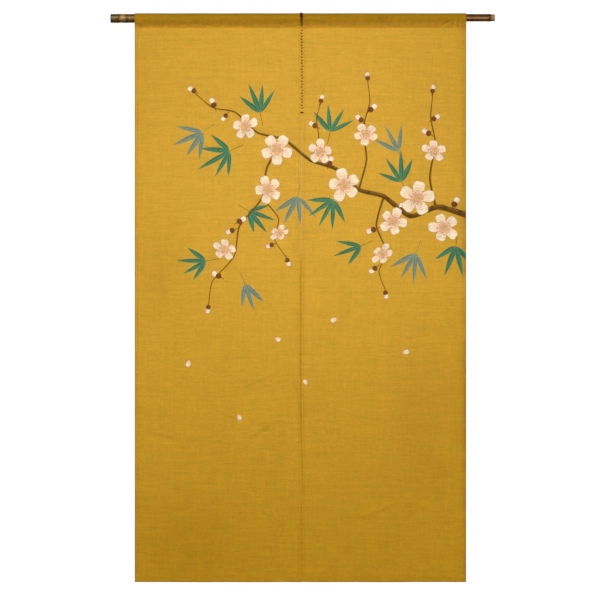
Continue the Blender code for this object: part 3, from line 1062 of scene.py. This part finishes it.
def stitch_tree(material):
    """Short rounded stitches in a row along each path, each lying along it."""
    sizes = {"Pitch": MACHINE_PITCH, "Length": MACHINE_LENGTH, "Radius": MACHINE_RADIUS}
    tree, given = tree_with_inputs("machine_stitches", sizes)
    curve = add_node(tree, "GeometryNodeMeshToCurve", Mesh=given["Path"])
    row = add_node(
        tree, "GeometryNodeResampleCurve", {"mode": "LENGTH"},
        Curve=curve.outputs["Curve"], Length=given["Pitch"],
    )
    bead = add_node(tree, "GeometryNodeMeshUVSphere", Segments=6, Rings=4, Radius=1.0)
    half = add_node(tree, "ShaderNodeMath", {"operation": "MULTIPLY"}, _0=given["Length"], _1=0.5)
    radius = given["Radius"]
    size = add_node(tree, "ShaderNodeCombineXYZ", X=radius, Y=radius, Z=half.outputs["Value"])
    tangent = add_node(tree, "GeometryNodeInputTangent")
    along = tangent.outputs["Tangent"]
    facing = add_node(tree, "FunctionNodeAlignRotationToVector", {"axis": "Z"}, Vector=along)
    placed = add_node(
        tree, "GeometryNodeInstanceOnPoints", Points=row.outputs["Curve"], Instance=bead.outputs["Mesh"],
        Rotation=facing.outputs["Rotation"], Scale=size.outputs["Vector"],
    )
    return finish_tree(tree, placed.outputs["Instances"], material)


def thread_tree(material):
    """A round thread along each path."""
    tree, given = tree_with_inputs("sewing_thread", {"Radius": 0.5 * MM})
    curve = add_node(tree, "GeometryNodeMeshToCurve", Mesh=given["Path"])
    profile = add_node(tree, "GeometryNodeCurvePrimitiveCircle", Resolution=8, Radius=given["Radius"])
    tube = add_node(
        tree, "GeometryNodeCurveToMesh", Curve=curve.outputs["Curve"],
        Profile_Curve=profile.outputs["Curve"], Fill_Caps=True,
    )
    return finish_tree(tree, tube.outputs["Mesh"], material)


def finish_tree(tree, geometry, material):
    """Ends a tree: instances realized, smooth shading, material, output."""
    real = add_node(tree, "GeometryNodeRealizeInstances", Geometry=geometry)
    soft = add_node(tree, "GeometryNodeSetShadeSmooth", Geometry=real.outputs["Geometry"])
    shown = add_node(tree, "GeometryNodeSetMaterial", Geometry=soft.outputs["Geometry"], Material=material)
    add_node(tree, "NodeGroupOutput", Mesh=shown.outputs["Geometry"])
    return tree


def grown(guide, tree, values):
    """Runs a tree on a guide object and returns the plain mesh object that it makes."""
    name = guide.name
    modifier = guide.modifiers.new("grow", "NODES")
    modifier.node_group = tree
    for item in tree.interface.items_tree:
        if item.item_type == "SOCKET" and item.in_out == "INPUT" and item.name in values:
            modifier[item.identifier] = values[item.name]
    bpy.context.view_layer.update()
    evaluated = guide.evaluated_get(bpy.context.evaluated_depsgraph_get())
    mesh = bpy.data.meshes.new_from_object(evaluated)
    while mesh.materials and mesh.materials[0] is None:
        mesh.materials.pop(index=0)
    bpy.data.objects.remove(guide)
    mesh.name = name
    return link(bpy.data.objects.new(name, mesh))


def on_cloth(x, v, proud, outer_x, back=False):
    """A point of the flat cloth, where it hangs, proud of its face by the given distance."""
    position, normal = cloth_surface(hung_x(x, v, outer_x), v, math.copysign(1.0, outer_x))
    if back:
        return position - normal * (thickness(x, v, outer_x) + proud)
    return position + normal * proud


def stitch_row(start, end, steps, outer_x, back):
    """Points just proud of the cloth on a straight line of the flat cloth, from start to end."""
    places = [[a + (b - a) * k / steps for a, b in zip(start, end)] for k in range(steps + 1)]
    return [on_cloth(x, v, MACHINE_PROUD, outer_x, back) for x, v in places]


def machine_paths(outer_x):
    """Rows of machine stitches of one panel: pocket seam, both side hems and foot hem, on both faces."""
    side = math.copysign(1.0, outer_x)
    near, far = side * STITCHES_FROM_EDGE, outer_x - side * STITCHES_FROM_EDGE
    foot_v = HEM_Z + BOTTOM_HEM_WIDTH - 1.6 * MM
    low, high = HEM_Z + 0.5 * MM, POCKET_SEAM_Z - 4.0 * MM
    paths = []
    for back, seam_v in ((False, POCKET_SEAM_Z - 1.2 * MM), (True, POCKET_SEAM_Z + POCKET_LOOP + 1.2 * MM)):
        # The back row of the seam lies on the flap, which is the cloth's outer face too
        paths.append(stitch_row((near, seam_v), (far, seam_v), SHORT_ROW_STEPS, outer_x, False))
        paths.append(stitch_row((near, foot_v), (far, foot_v), SHORT_ROW_STEPS, outer_x, back))
        for x in (side * SEAM_INSET, outer_x - side * SEAM_INSET):
            paths.append(stitch_row((x, low), (x, high), LONG_ROW_STEPS, outer_x, back))
    return paths


LACING_PITCH = 7.9 * MM
LACING_TOP = POCKET_SEAM_Z - 9.0 * MM
LACING_OFF_SEAM = 0.95 * MM
LACING_HALF_LENGTH = 2.0 * MM
LACING_RADIUS = 1.0 * MM
RUNNING_RADIUS = 0.22 * MM
TACK_Z = -0.249
TACK_RADIUS = 0.5 * MM
WHIP_PITCH = 2.1 * MM
WHIP_RADIUS = 0.95 * MM


def lacing_places():
    """Centre height and side of each hand stitch that joins the panels, from the top down."""
    count = int((LACING_TOP - TACK_Z - 4 * MM) / LACING_PITCH)
    for k in range(count + 1):
        side = 1 if k % 2 == 0 else -1
        yield LACING_TOP - LACING_PITCH * k + 0.4 * MM * math.sin(k * 2.4), side


def lacing_paths():
    """The short stitches: each lies over one panel's edge and goes into the cloth at both ends."""
    paths = []
    for k, (z, side) in enumerate(lacing_places()):
        centre = side * (LACING_OFF_SEAM + 0.12 * MM * math.sin(k * 1.7))
        tilt = 0.35 * side
        rows = ((-1.0, -0.9), (-0.8, 0.15), (-0.3, 0.42), (0.3, 0.42), (0.8, 0.15), (1.0, -0.9))
        points = []
        for share, proud in rows:
            x = centre + share * LACING_HALF_LENGTH
            outer_x = RIGHT_EDGE_X if x > 0 else LEFT_EDGE_X
            points.append(on_cloth(x, z + share * tilt * LACING_HALF_LENGTH, proud * MM, outer_x))
        paths.append(curve_through(points, 3, 0.5))
    return paths


def running_paths():
    """The fine thread that lies in the seam between the stitches."""
    places = [z for z, _ in lacing_places()]
    steps = 90
    top, low = places[0], places[-1] - 3 * MM
    rows = [top + (low - top) * k / steps for k in range(steps + 1)]
    return [[
        on_cloth(0.35 * MM * math.sin(k * 1.3), z, 0.05 * MM, RIGHT_EDGE_X) for k, z in enumerate(rows)
    ]]


def whipping_paths():
    """Close stitches over the two pocket edges, from the front seam over the rod to the back."""
    rows = ((-1.0, -0.5), (-0.86, 0.45), (-0.4, 0.85), (0.1, 0.95), (0.6, 0.75), (0.9, 0.35), (1.0, -0.5))
    paths = []
    k = 0
    v = POCKET_SEAM_Z + 1.5 * MM
    while v < POCKET_SEAM_Z + POCKET_LOOP - 1.5 * MM:
        above_seam = min(v - POCKET_SEAM_Z, POCKET_SEAM_Z + POCKET_LOOP - v)
        close = smooth((above_seam - 4 * MM) / (26 * MM))
        half = (1.5 + 1.4 * close + 0.25 * math.sin(k * 2.7)) * MM
        drift = 0.3 * MM * math.sin(k * 1.1)
        k += 1
        v += WHIP_PITCH * (1.75 - 0.75 * close)
        paths.append(curve_through([
            on_cloth(drift + share * half, v + 0.55 * share * WHIP_PITCH, proud * MM, RIGHT_EDGE_X)
            for share, proud in rows
        ], 4, 0.5))
    return paths


def tack_paths():
    """The bar tack at the head of the slit: threads side by side, bound by two short ones."""
    paths = []
    for k in range(4):
        z = TACK_Z + (k - 1.5) * 0.85 * MM
        rows = ((-1.0, -0.5), (-0.85, 0.4), (-0.3, 0.75), (0.3, 0.8), (0.85, 0.4), (1.0, -0.5))
        half = (3.9 + 0.25 * math.sin(k * 2.1)) * MM
        paths.append(curve_through([
            on_cloth(share * half, z + 0.2 * MM * math.sin(k + share), proud * MM, RIGHT_EDGE_X)
            for share, proud in rows
        ], 4, 0.5))
    return paths


# The bamboo rod

ROD_SIDES = 72


def rod_outline():
    """Rows of (place along x, radius) for the outer face, the cut ends and the bores."""
    half = ROD_LENGTH / 2
    places = []
    joint_offsets = (-7, -5, -3.4, -2.2, -1.4, -0.8, -0.3, 0.1, 0.5, 1.1, 1.8, 2.8, 4.2, 6)
    for joint in BAMBOO_JOINTS:
        places += [joint + offset * MM for offset in joint_offsets]
    places += divided(-half + 4 * MM, half - 2 * MM, 9 * MM)
    places = sorted(p for p in places if -half + 2.5 * MM < p < half - 1.0 * MM)
    left_end = [
        (BAMBOO_JOINTS[0] - 3 * MM, 0.0), (BAMBOO_JOINTS[0] - 3 * MM, ROD_BORE_LEFT * 0.7),
        (BAMBOO_JOINTS[0] - 4.5 * MM, ROD_BORE_LEFT), (-half + 0.3 * MM, ROD_BORE_LEFT),
        (-half, ROD_BORE_LEFT + 0.4 * MM),
    ]
    for share in (1.0, 0.8, 0.55, 0.3, 0.12, 0.0):
        lost = 1.9 * MM * share ** 2.2
        left_end.append((-half + 2.2 * MM * (1 - share), rod_radius(-half) - lost))
    body = [(p, rod_radius(p) + joint_rise(p)) for p in places]
    tip = rod_radius(half) + joint_rise(half)
    right_end = [
        (half - 0.6 * MM, tip), (half - 0.15 * MM, tip - 0.2 * MM), (half, tip - 0.6 * MM),
        (half, ROD_BORE_RIGHT + 0.3 * MM), (half - 0.3 * MM, ROD_BORE_RIGHT),
        (BAMBOO_JOINTS[-1] + 4.5 * MM, ROD_BORE_RIGHT), (BAMBOO_JOINTS[-1] + 3 * MM, ROD_BORE_RIGHT * 0.7),
        (BAMBOO_JOINTS[-1] + 3 * MM, 0.0),
    ]
    return left_end + body + right_end


def joint_rise(x):
    """How far the bamboo stands out of its stem near a joint, and draws in past the last one."""
    rise = 0.0
    for joint in BAMBOO_JOINTS:
        off = (x - joint) / MM
        rise += 0.34 * math.exp(-((off + 2.0) / 1.5) ** 2) * MM
        rise += 0.26 * math.exp(-((off - 1.4) / 1.3) ** 2) * MM
        rise -= 0.42 * math.exp(-((off + 0.1) / 0.45) ** 2) * MM
    past = smooth((x - BAMBOO_JOINTS[-1] - 1.5 * MM) / (4 * MM))
    return rise - past * (ROD_RADIUS_RIGHT - ROD_TIP_RADIUS)


def make_rod(material):
    """The smoked bamboo: a turned outline, a little out of round, along the rod's sloping axis."""
    rows = rod_outline()
    points, faces = [], []
    rings = []
    for x, radius in rows:
        centre_z = x * ROD_SLOPE
        if radius == 0.0:
            rings.append([len(points)])
            points.append((x, 0.0, centre_z))
            continue
        rings.append(list(range(len(points), len(points) + ROD_SIDES)))
        for step in range(ROD_SIDES):
            angle = 2 * math.pi * step / ROD_SIDES
            direction = Vector((0.0, math.cos(angle), math.sin(angle)))
            uneven = noise.noise(Vector((x * 18, direction.y * 0.9, direction.z * 0.9))) * 0.12 * MM
            out = direction * (radius + uneven)
            points.append((x, out.y, centre_z + out.z))
    for first, second in zip(rings, rings[1:]):
        for step in range(ROD_SIDES):
            after = (step + 1) % ROD_SIDES
            if len(first) == 1:
                faces.append((first[0], second[step], second[after]))
            elif len(second) == 1:
                faces.append((first[step], second[0], first[after]))
            else:
                faces.append((first[step], second[step], second[after], first[after]))
    mesh = bpy.data.meshes.new("smoked_bamboo_rod")
    mesh.from_pydata(points, [], faces)
    mesh.shade_smooth()
    mesh.set_sharp_from_angle(angle=math.radians(42))
    mesh.materials.append(material)
    mesh.validate()
    return link(bpy.data.objects.new("smoked_bamboo_rod", mesh))


# Materials

def new_material(name):
    """An empty material: its tree and its output node."""
    material = bpy.data.materials.new(name)
    material.use_nodes = True
    tree = material.node_tree
    tree.nodes.clear()
    return material, tree, tree.nodes.new("ShaderNodeOutputMaterial")


def end_mixed(tree, output, share, first, second):
    """Ends a tree with two shaders mixed."""
    mixed = add_node(tree, "ShaderNodeMixShader", _0=share, _1=first.outputs[0], _2=second.outputs[0])
    tree.links.new(mixed.outputs["Shader"], output.inputs["Surface"])


def math_node(tree, operation, first, second=0.0, third=0.0, clamp=False):
    settings = {"operation": operation, "use_clamp": clamp}
    return add_node(tree, "ShaderNodeMath", settings, _0=first, _1=second, _2=third).outputs["Value"]


def blend(tree, share, first, second, kind="MIX"):
    """Two colours mixed or multiplied; each is linear RGB or a node's output."""
    ends = [c if isinstance(c, bpy.types.NodeSocket) else (*c, 1.0) for c in (first, second)]
    made = add_node(
        tree, "ShaderNodeMix", {"data_type": "RGBA", "blend_type": kind}, Factor=share, A=ends[0], B=ends[1]
    )
    return next(s for s in made.outputs if s.enabled)


def fading(tree, distance, full, none):
    """1 up to the distance full, easing to 0 at the distance none."""
    made = add_node(
        tree, "ShaderNodeMapRange", {"interpolation_type": "SMOOTHSTEP"}, Value=distance,
        From_Min=full, From_Max=none, To_Min=1.0, To_Max=0.0,
    )
    return made.outputs["Result"]


def thread_noise(tree, flat_map, grain):
    """Noise drawn out along the threads, from -0.5 to 0.5."""
    mapping = add_node(
        tree, "ShaderNodeMapping", Vector=flat_map, Location=(grain.start, grain.start * 0.37, 0.0),
        Scale=(1 / grain.along, 1 / grain.across, 1.0),
    )
    made = add_node(
        tree, "ShaderNodeTexNoise", {"noise_dimensions": "2D"}, Vector=mapping.outputs["Vector"],
        Scale=1.0, Detail=grain.detail, Roughness=0.55,
    )
    return math_node(tree, "SUBTRACT", made.outputs["Fac"], 0.5)


# Linen: its colours, and how much of what it gives back is light from behind
LINEN_HEX = "D29A12"
LINEN_YELLOW_HEX = "CEA118"
# Colour of the painted shade along the edges, at the foot and in the right strip, which also darkens the soft
# patches
PAINTED_SHADE_AND_PATCH_HEX = "A36A08"
# Colour of the painted light that makes the pocket paler
POCKET_PAINTED_LIGHT_HEX = "E8C878"
LIGHT_THROUGH_HEX = "FFEAAA"
LIGHT_THROUGH_SHARE = 0.42

# The weave has a thread each 0.9 mm, drawn at twice that so that it shows
WEAVE_PITCH = 1.8 * MM

# Grains of the linen: size along the weft and along the warp, detail, and where its noise starts
Grain = namedtuple("Grain", "along across detail start")
SLUBS = Grain(34 * MM, 4.6 * MM, 3.0, 3.1)
FINE_SLUBS = Grain(9 * MM, 3.2 * MM, 2.0, 7.7)
WARP_THREADS = Grain(4.0 * MM, 60 * MM, 2.0, 1.9)
WEFT_BANDS = Grain(150 * MM, 9 * MM, 2.0, 5.3)
WARP_BANDS = Grain(10 * MM, 190 * MM, 2.0, 6.2)
YELLOWING = Grain(34 * MM, 14 * MM, 3.0, 8.4)
EDGE_UNEVENNESS = Grain(42 * MM, 42 * MM, 2.0, 9.1)


def add_up(tree, rows, start):
    """start plus each value times its amount."""
    total = start
    for value, amount in rows:
        total = math_node(tree, "MULTIPLY_ADD", value, amount, third=total)
    return total


def attribute(tree, name, output="Fac"):
    """A value that the cloth's mesh carries."""
    return add_node(tree, "ShaderNodeAttribute", {"attribute_name": name}).outputs[output]


def painted_shade_and_patches(tree, flat_map, foot):
    """Painted shade drawn as deeper dye: along the edges, at the foot and in the seam of the foot hem; added
    to the soft darker patches and the painted strip by the right edge.
    """
    unevenness = thread_noise(tree, flat_map, EDGE_UNEVENNESS)
    from_edge = add_up(tree, ((unevenness, 1.6 * MM),), attribute(tree, "from_edge"))
    foot = add_up(tree, ((unevenness, 4.0 * MM),), foot)
    from_hem_seam = math_node(tree, "ABSOLUTE", math_node(tree, "SUBTRACT", foot, BOTTOM_HEM_WIDTH))
    rows = (
        (fading(tree, from_edge, 0.8 * MM, 4.2 * MM), attribute(tree, "painted_edge_shade")),
        (fading(tree, foot, 1.5 * MM, 5.5 * MM), 0.55),
        (fading(tree, from_hem_seam, 0.4 * MM, 3.0 * MM), 0.04),
    )
    return add_up(tree, rows, attribute(tree, "patches_and_strip_shade"))


def plain_linen(tree, flat_map, deep):
    """The colour of the cloth before its threads: yellower in places, paler on the pocket as painted light,
    and darker with painted shade and the soft patches.
    """
    yellow = add_up(tree, ((thread_noise(tree, flat_map, YELLOWING), 2.0),), 0.5)
    plain = blend(tree, yellow, linear(LINEN_HEX), linear(LINEN_YELLOW_HEX))
    # Painted light: the pocket is drawn paler, most of all below the rod
    plain = blend(tree, attribute(tree, "pocket_painted_light"), plain, linear(POCKET_PAINTED_LIGHT_HEX))
    return blend(tree, deep, plain, linear(PAINTED_SHADE_AND_PATCH_HEX))


def woven(tree, parts):
    """The over and under of the weave, as two crossing waves."""
    turns = [math_node(tree, "MULTIPLY", parts[axis], 2 * math.pi / WEAVE_PITCH) for axis in ("X", "Y")]
    return math_node(tree, "MULTIPLY", *[math_node(tree, "SINE", turn) for turn in turns])


def make_linen():
    """Plain-woven slub linen, dyed in the piece: matt, uneven in the thread, and it lets light through."""
    material, tree, output = new_material("slub_linen_mustard")
    flat_map = add_node(tree, "ShaderNodeUVMap", {"uv_map": "flat"}).outputs["UV"]
    parts = add_node(tree, "ShaderNodeSeparateXYZ", Vector=flat_map).outputs
    slubs, fine_slubs, warp, weft_bands, warp_bands = (
        thread_noise(tree, flat_map, grain)
        for grain in (SLUBS, FINE_SLUBS, WARP_THREADS, WEFT_BANDS, WARP_BANDS)
    )
    weave = woven(tree, parts)
    tone_rows = (
        (slubs, 0.31), (fine_slubs, 0.30), (warp, 0.18), (weave, 0.04), (weft_bands, 0.20), (warp_bands, 0.10)
    )
    tone = add_up(tree, tone_rows, 1.0)
    # Painted shade along the edges, at the foot and in the right strip, with the soft darker patches
    deep = painted_shade_and_patches(tree, flat_map, math_node(tree, "SUBTRACT", parts["Y"], HEM_Z))
    linen = blend(tree, 1.0, plain_linen(tree, flat_map, deep), tone, "MULTIPLY")
    painted_tone = add_up(tree, ((fine_slubs, 0.30),), tone)
    dyed = blend(tree, 1.0, attribute(tree, "dye", "Color"), painted_tone, "MULTIPLY")
    painted = attribute(tree, "painted")
    relief = add_up(tree, ((weave, 0.35), (slubs, 1.4), (warp, 0.8)), 0.0)
    bump = add_node(tree, "ShaderNodeBump", Height=relief, Strength=0.35, Distance=0.25 * MM)
    normal = bump.outputs["Normal"]
    body = add_node(
        tree, "ShaderNodeBsdfPrincipled", Base_Color=blend(tree, painted, linen, dyed), Roughness=0.9,
        Specular_IOR_Level=0.10, Normal=normal,
    )
    # The painted shade and the darker patches also tint the light that comes through
    pale = blend(tree, deep, linear(LIGHT_THROUGH_HEX), linear(PAINTED_SHADE_AND_PATCH_HEX))
    pale = blend(tree, 1.0, pale, add_up(tree, ((tone, 0.4),), 0.6), "MULTIPLY")
    through_colour = blend(tree, math_node(tree, "MULTIPLY", painted, 0.7), pale, dyed)
    through = add_node(tree, "ShaderNodeBsdfTranslucent", Color=through_colour, Normal=normal)
    share = math_node(tree, "MULTIPLY", attribute(tree, "lets_through"), LIGHT_THROUGH_SHARE)
    end_mixed(tree, output, share, body, through)
    return material


def make_thread(name, hex_colour, roughness):
    """Twisted sewing thread: matt, with the light and dark of its plies."""
    material, tree, output = new_material(name)
    place = add_node(tree, "ShaderNodeTexCoord").outputs["Object"]
    plies = add_node(tree, "ShaderNodeTexNoise", Vector=place, Scale=2600.0, Detail=1.0)
    tone = add_up(tree, ((plies.outputs["Fac"], 0.7),), 0.65)
    colour = blend(tree, 1.0, linear(hex_colour), tone, "MULTIPLY")
    bump = add_node(tree, "ShaderNodeBump", Height=plies.outputs["Fac"], Strength=0.4, Distance=0.1 * MM)
    body = add_node(
        tree, "ShaderNodeBsdfPrincipled", Base_Color=colour, Roughness=roughness,
        Specular_IOR_Level=0.06, Normal=bump.outputs["Normal"],
    )
    tree.links.new(body.outputs["BSDF"], output.inputs["Surface"])
    return material


def ramp(tree, value, stops):
    """A colour ramp: stops are (place, hex colour)."""
    made = add_node(tree, "ShaderNodeValToRGB", Fac=value)
    bar = made.color_ramp
    while len(bar.elements) < len(stops):
        bar.elements.new(0.5)
    for element, (place, hex_colour) in zip(bar.elements, stops):
        element.position = place
        element.color = (*linear(hex_colour), 1.0)
    return made.outputs["Color"]


# Bamboo: the dark rings at its joints, the painted shade on its underside, and the tones of its skin along
# the rod, with x in millimetres
RING_HEX = "2E1A0E"
RING_STRENGTH = 0.75
RING_HALF_WIDTH = 1.6 * MM
UNDERSIDE_SHADE_HEX = "24100A"
UNDERSIDE_SHADE_STRENGTH = 0.78
Tone = namedtuple("Tone", "x colour")
BAMBOO_TONES = (
    Tone(-506, "4E4727"), Tone(-497, "6B6238"), Tone(-491, "6A4A28"), Tone(-484, "6E4522"),
    Tone(-479, "B68A48"), Tone(-468, "A87C3E"), Tone(-463, "4A3418"), Tone(-457, "86683A"),
    Tone(-448, "5E4424"), Tone(-300, "74502A"), Tone(-120, "623C1C"), Tone(80, "78562E"),
    Tone(280, "64401E"), Tone(432, "6E4016"), Tone(443, "5A3018"), Tone(449, "4A2612"),
    Tone(454, "7C4A1C"), Tone(470, "6A4016"), Tone(482, "7C4E20"), Tone(490, "582E0A"),
    Tone(495, "6E4420"), Tone(499, "BE9870"), Tone(506, "CCAC88"),
)


def joint_rings(tree, along):
    """1 on the dark ring of each joint, 0 away from them."""
    rings = 0.0
    for joint in BAMBOO_JOINTS:
        away = math_node(tree, "ABSOLUTE", math_node(tree, "SUBTRACT", along, joint))
        ring = math_node(tree, "SUBTRACT", 1.0, math_node(tree, "DIVIDE", away, RING_HALF_WIDTH), clamp=True)
        rings = math_node(tree, "ADD", ring, rings, clamp=True)
    return rings


def drawn_noise(tree, place, scale, detail):
    """Noise with its own scale along each axis."""
    drawn_out = add_node(tree, "ShaderNodeMapping", Vector=place, Scale=scale).outputs["Vector"]
    made = add_node(tree, "ShaderNodeTexNoise", Vector=drawn_out, Scale=1.0, Detail=detail, Roughness=0.55)
    return made.outputs["Fac"]


def make_bamboo():
    """Smoked and spotted bamboo: a hard polished skin, dark brown with tan and cream patches."""
    material, tree, output = new_material("smoked_bamboo")
    place = add_node(tree, "ShaderNodeTexCoord").outputs["Object"]
    parts = add_node(tree, "ShaderNodeSeparateXYZ", Vector=place).outputs
    along = parts["X"]
    height = math_node(tree, "SUBTRACT", parts["Z"], math_node(tree, "MULTIPLY", along, ROD_SLOPE))
    fibres = drawn_noise(tree, place, (9.0, 420.0, 420.0), 4.0)
    patches = drawn_noise(tree, place, (110.0, 130.0, 130.0), 3.0)
    half = ROD_LENGTH / 2
    share = add_node(tree, "ShaderNodeMapRange", Value=along, From_Min=-half, From_Max=half)
    stops = [(tone.x * MM / ROD_LENGTH + 0.5, tone.colour) for tone in BAMBOO_TONES]
    skin = ramp(tree, share.outputs["Result"], stops)
    spots = add_up(tree, ((fibres, 0.5),), patches)
    tone = add_node(
        tree, "ShaderNodeMapRange", Value=spots, From_Min=0.50, From_Max=1.0, To_Min=0.30, To_Max=1.35
    ).outputs["Result"]
    skin = blend(tree, 1.0, skin, tone, "MULTIPLY")
    rings = math_node(tree, "MULTIPLY", joint_rings(tree, along), RING_STRENGTH)
    skin = blend(tree, rings, skin, linear(RING_HEX))
    # Painted shade on the underside, held in smoked: it is drawn darker and less glossy
    smoked = fading(tree, height, -9 * MM, -1 * MM)
    skin = blend(tree, math_node(tree, "MULTIPLY", smoked, UNDERSIDE_SHADE_STRENGTH), skin, linear(UNDERSIDE_SHADE_HEX))
    bump = add_node(tree, "ShaderNodeBump", Height=fibres, Strength=0.25, Distance=0.15 * MM)
    body = add_node(
        tree, "ShaderNodeBsdfPrincipled", Base_Color=skin, Roughness=0.32,
        Specular_IOR_Level=add_up(tree, ((smoked, -0.8),), 1.0),
        Specular_Tint=(*linear("FFCE94"), 1.0), Normal=bump.outputs["Normal"],
    )
    tree.links.new(body.outputs["BSDF"], output.inputs["Surface"])
    return material


# Stage

FLOOR_Z = -1.95
FLOOR_RADIUS = 3.0
FLOOR_SIDES = 96
FLOOR_GLOW = 0.20
FLOOR_FADES_FROM = 0.35 * FLOOR_RADIUS
FLOOR_FADES_TO = 0.97 * FLOOR_RADIUS
AMBIENT_STRENGTH = 0.02
MID_Z = (TOP_Z + HEM_Z) / 2


def make_floor():
    """A pale round floor that fades into the white of the studio towards its rim."""
    material, tree, output = new_material("studio_floor")
    place = add_node(tree, "ShaderNodeTexCoord").outputs["Object"]
    distance = add_node(tree, "ShaderNodeVectorMath", {"operation": "LENGTH"}, _0=place)
    fade = add_node(
        tree, "ShaderNodeMapRange", {"interpolation_type": "SMOOTHSTEP"},
        Value=distance.outputs["Value"], From_Min=FLOOR_FADES_FROM, From_Max=FLOOR_FADES_TO,
    )
    body = add_node(
        tree, "ShaderNodeBsdfPrincipled", Base_Color=(0.86, 0.855, 0.84, 1.0), Roughness=0.9,
        Emission_Color=(1.0, 0.99, 0.97, 1.0), Emission_Strength=FLOOR_GLOW,
    )
    clear = add_node(tree, "ShaderNodeBsdfTransparent")
    end_mixed(tree, output, fade.outputs["Result"], body, clear)
    rim = disc_outline(FLOOR_RADIUS, FLOOR_SIDES)
    mesh = bpy.data.meshes.new("floor")
    mesh.from_pydata([(x, y, 0.0) for x, y in rim], [], [tuple(range(FLOOR_SIDES))])
    mesh.materials.append(material)
    floor = link(bpy.data.objects.new("floor", mesh))
    floor.location.z = FLOOR_Z


def make_world():
    """White behind the object, and a softer white light from all round."""
    world = bpy.data.worlds.new("studio")
    bpy.context.scene.world = world
    world.use_nodes = True
    tree = world.node_tree
    tree.nodes.clear()
    seen = add_node(tree, "ShaderNodeLightPath").outputs["Is Camera Ray"]
    soft, white = (1.0, 0.99, 0.97, 1.0), (1.0, 1.0, 1.0, 1.0)
    ambient = add_node(tree, "ShaderNodeBackground", Color=soft, Strength=AMBIENT_STRENGTH)
    backdrop = add_node(tree, "ShaderNodeBackground", Color=white, Strength=1.05)
    end_mixed(tree, tree.nodes.new("ShaderNodeOutputWorld"), seen, ambient, backdrop)


def area_light(name, place, aim, size, watts, spread=180, colour=(1.0, 1.0, 1.0)):
    """A soft rectangular light that the camera doesn't see; spread is its cone in degrees."""
    light = bpy.data.lights.new(name, "AREA")
    light.shape = "RECTANGLE"
    light.size, light.size_y = size
    light.energy = watts
    light.color = colour
    light.spread = math.radians(spread)
    lamp = link(bpy.data.objects.new(name, light))
    lamp.location = place
    lamp.rotation_mode = "QUATERNION"
    lamp.rotation_quaternion = (Vector(aim) - Vector(place)).to_track_quat("-Z", "Y")
    lamp.visible_camera = False


def make_lights():
    """Two broad lights in front, and two behind the curtain that shine through all but its foot."""
    middle = (0.0, 0.0, MID_Z)
    area_light("front_left_light", (-2.0, -5.2, 3.0), middle, (2.4, 1.6), 194)
    area_light("front_middle_light", (1.0, -6.4, -0.9), middle, (2.4, 1.6), 170)
    area_light("light_through_top", (0.0, 1.2, -0.4), (0.0, 0.0, -0.1), (1.0, 1.3), 3.6, 62)
    yellow = (1.0, 0.98, 0.62)
    area_light("light_through_middle", (-0.15, 1.2, -1.0), (-0.15, 0.0, -0.5), (2.0, 1.4), 7.5, 62, yellow)


def make_camera():
    """Straight on, at the photograph's framing."""
    data = bpy.data.cameras.new("camera")
    data.sensor_width = 36.0
    data.lens = data.sensor_width * CAMERA_DISTANCE / (FRAME_PIXELS * METRES_PER_PIXEL)
    camera = link(bpy.data.objects.new("camera", data))
    centre_x = (FRAME_PIXELS / 2 - PHOTO_ORIGIN_X) * METRES_PER_PIXEL
    centre_z = -(FRAME_PIXELS / 2 - PHOTO_ORIGIN_Y) * METRES_PER_PIXEL
    camera.location = (centre_x, -CAMERA_DISTANCE, centre_z)
    camera.rotation_euler = (math.pi / 2, 0.0, 0.0)
    bpy.context.scene.camera = camera


def make_threads(mustard, brown):
    """All sewing: the machine stitches of the left and the right panel, then the joining thread."""
    stitches, thread = stitch_tree(mustard), thread_tree(brown)
    sizes = {"Pitch": MACHINE_PITCH, "Length": MACHINE_LENGTH, "Radius": MACHINE_RADIUS}
    rows = (
        ("left_machine_stitches", machine_paths(LEFT_EDGE_X), stitches, sizes),
        ("right_machine_stitches", machine_paths(RIGHT_EDGE_X), stitches, sizes),
        ("joining_stitches", lacing_paths(), thread, {"Radius": LACING_RADIUS}),
        ("seam_thread", running_paths(), thread, {"Radius": RUNNING_RADIUS}),
        ("pocket_whipping", whipping_paths(), thread, {"Radius": WHIP_RADIUS}),
        ("bar_tack", tack_paths(), thread, {"Radius": TACK_RADIUS}),
    )
    return [grown(path_mesh(name, paths), tree, values) for name, paths, tree, values in rows]


def main():
    make_camera()
    make_world()
    make_lights()
    make_floor()
    bpy.context.scene.view_settings.view_transform = "Standard"

    linen = make_linen()
    shapes = painted_shapes()
    left = hang_cloth("left_linen_panel", LEFT_EDGE_X, shapes, linen)
    right = hang_cloth("right_linen_panel", RIGHT_EDGE_X, shapes, linen)
    rod = make_rod(make_bamboo())
    mustard = make_thread("cotton_thread_mustard", "B98A28", 0.85)
    brown = make_thread("cotton_cord_brown", "541C06", 0.85)
    left_stitches, right_stitches, *joining = make_threads(mustard, brown)

    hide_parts("left_panel")
    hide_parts("right_panel")
    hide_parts("bamboo_rod")
    for piece in (left, right, rod, left_stitches, right_stitches, *joining):
        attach(piece, "root")


main()
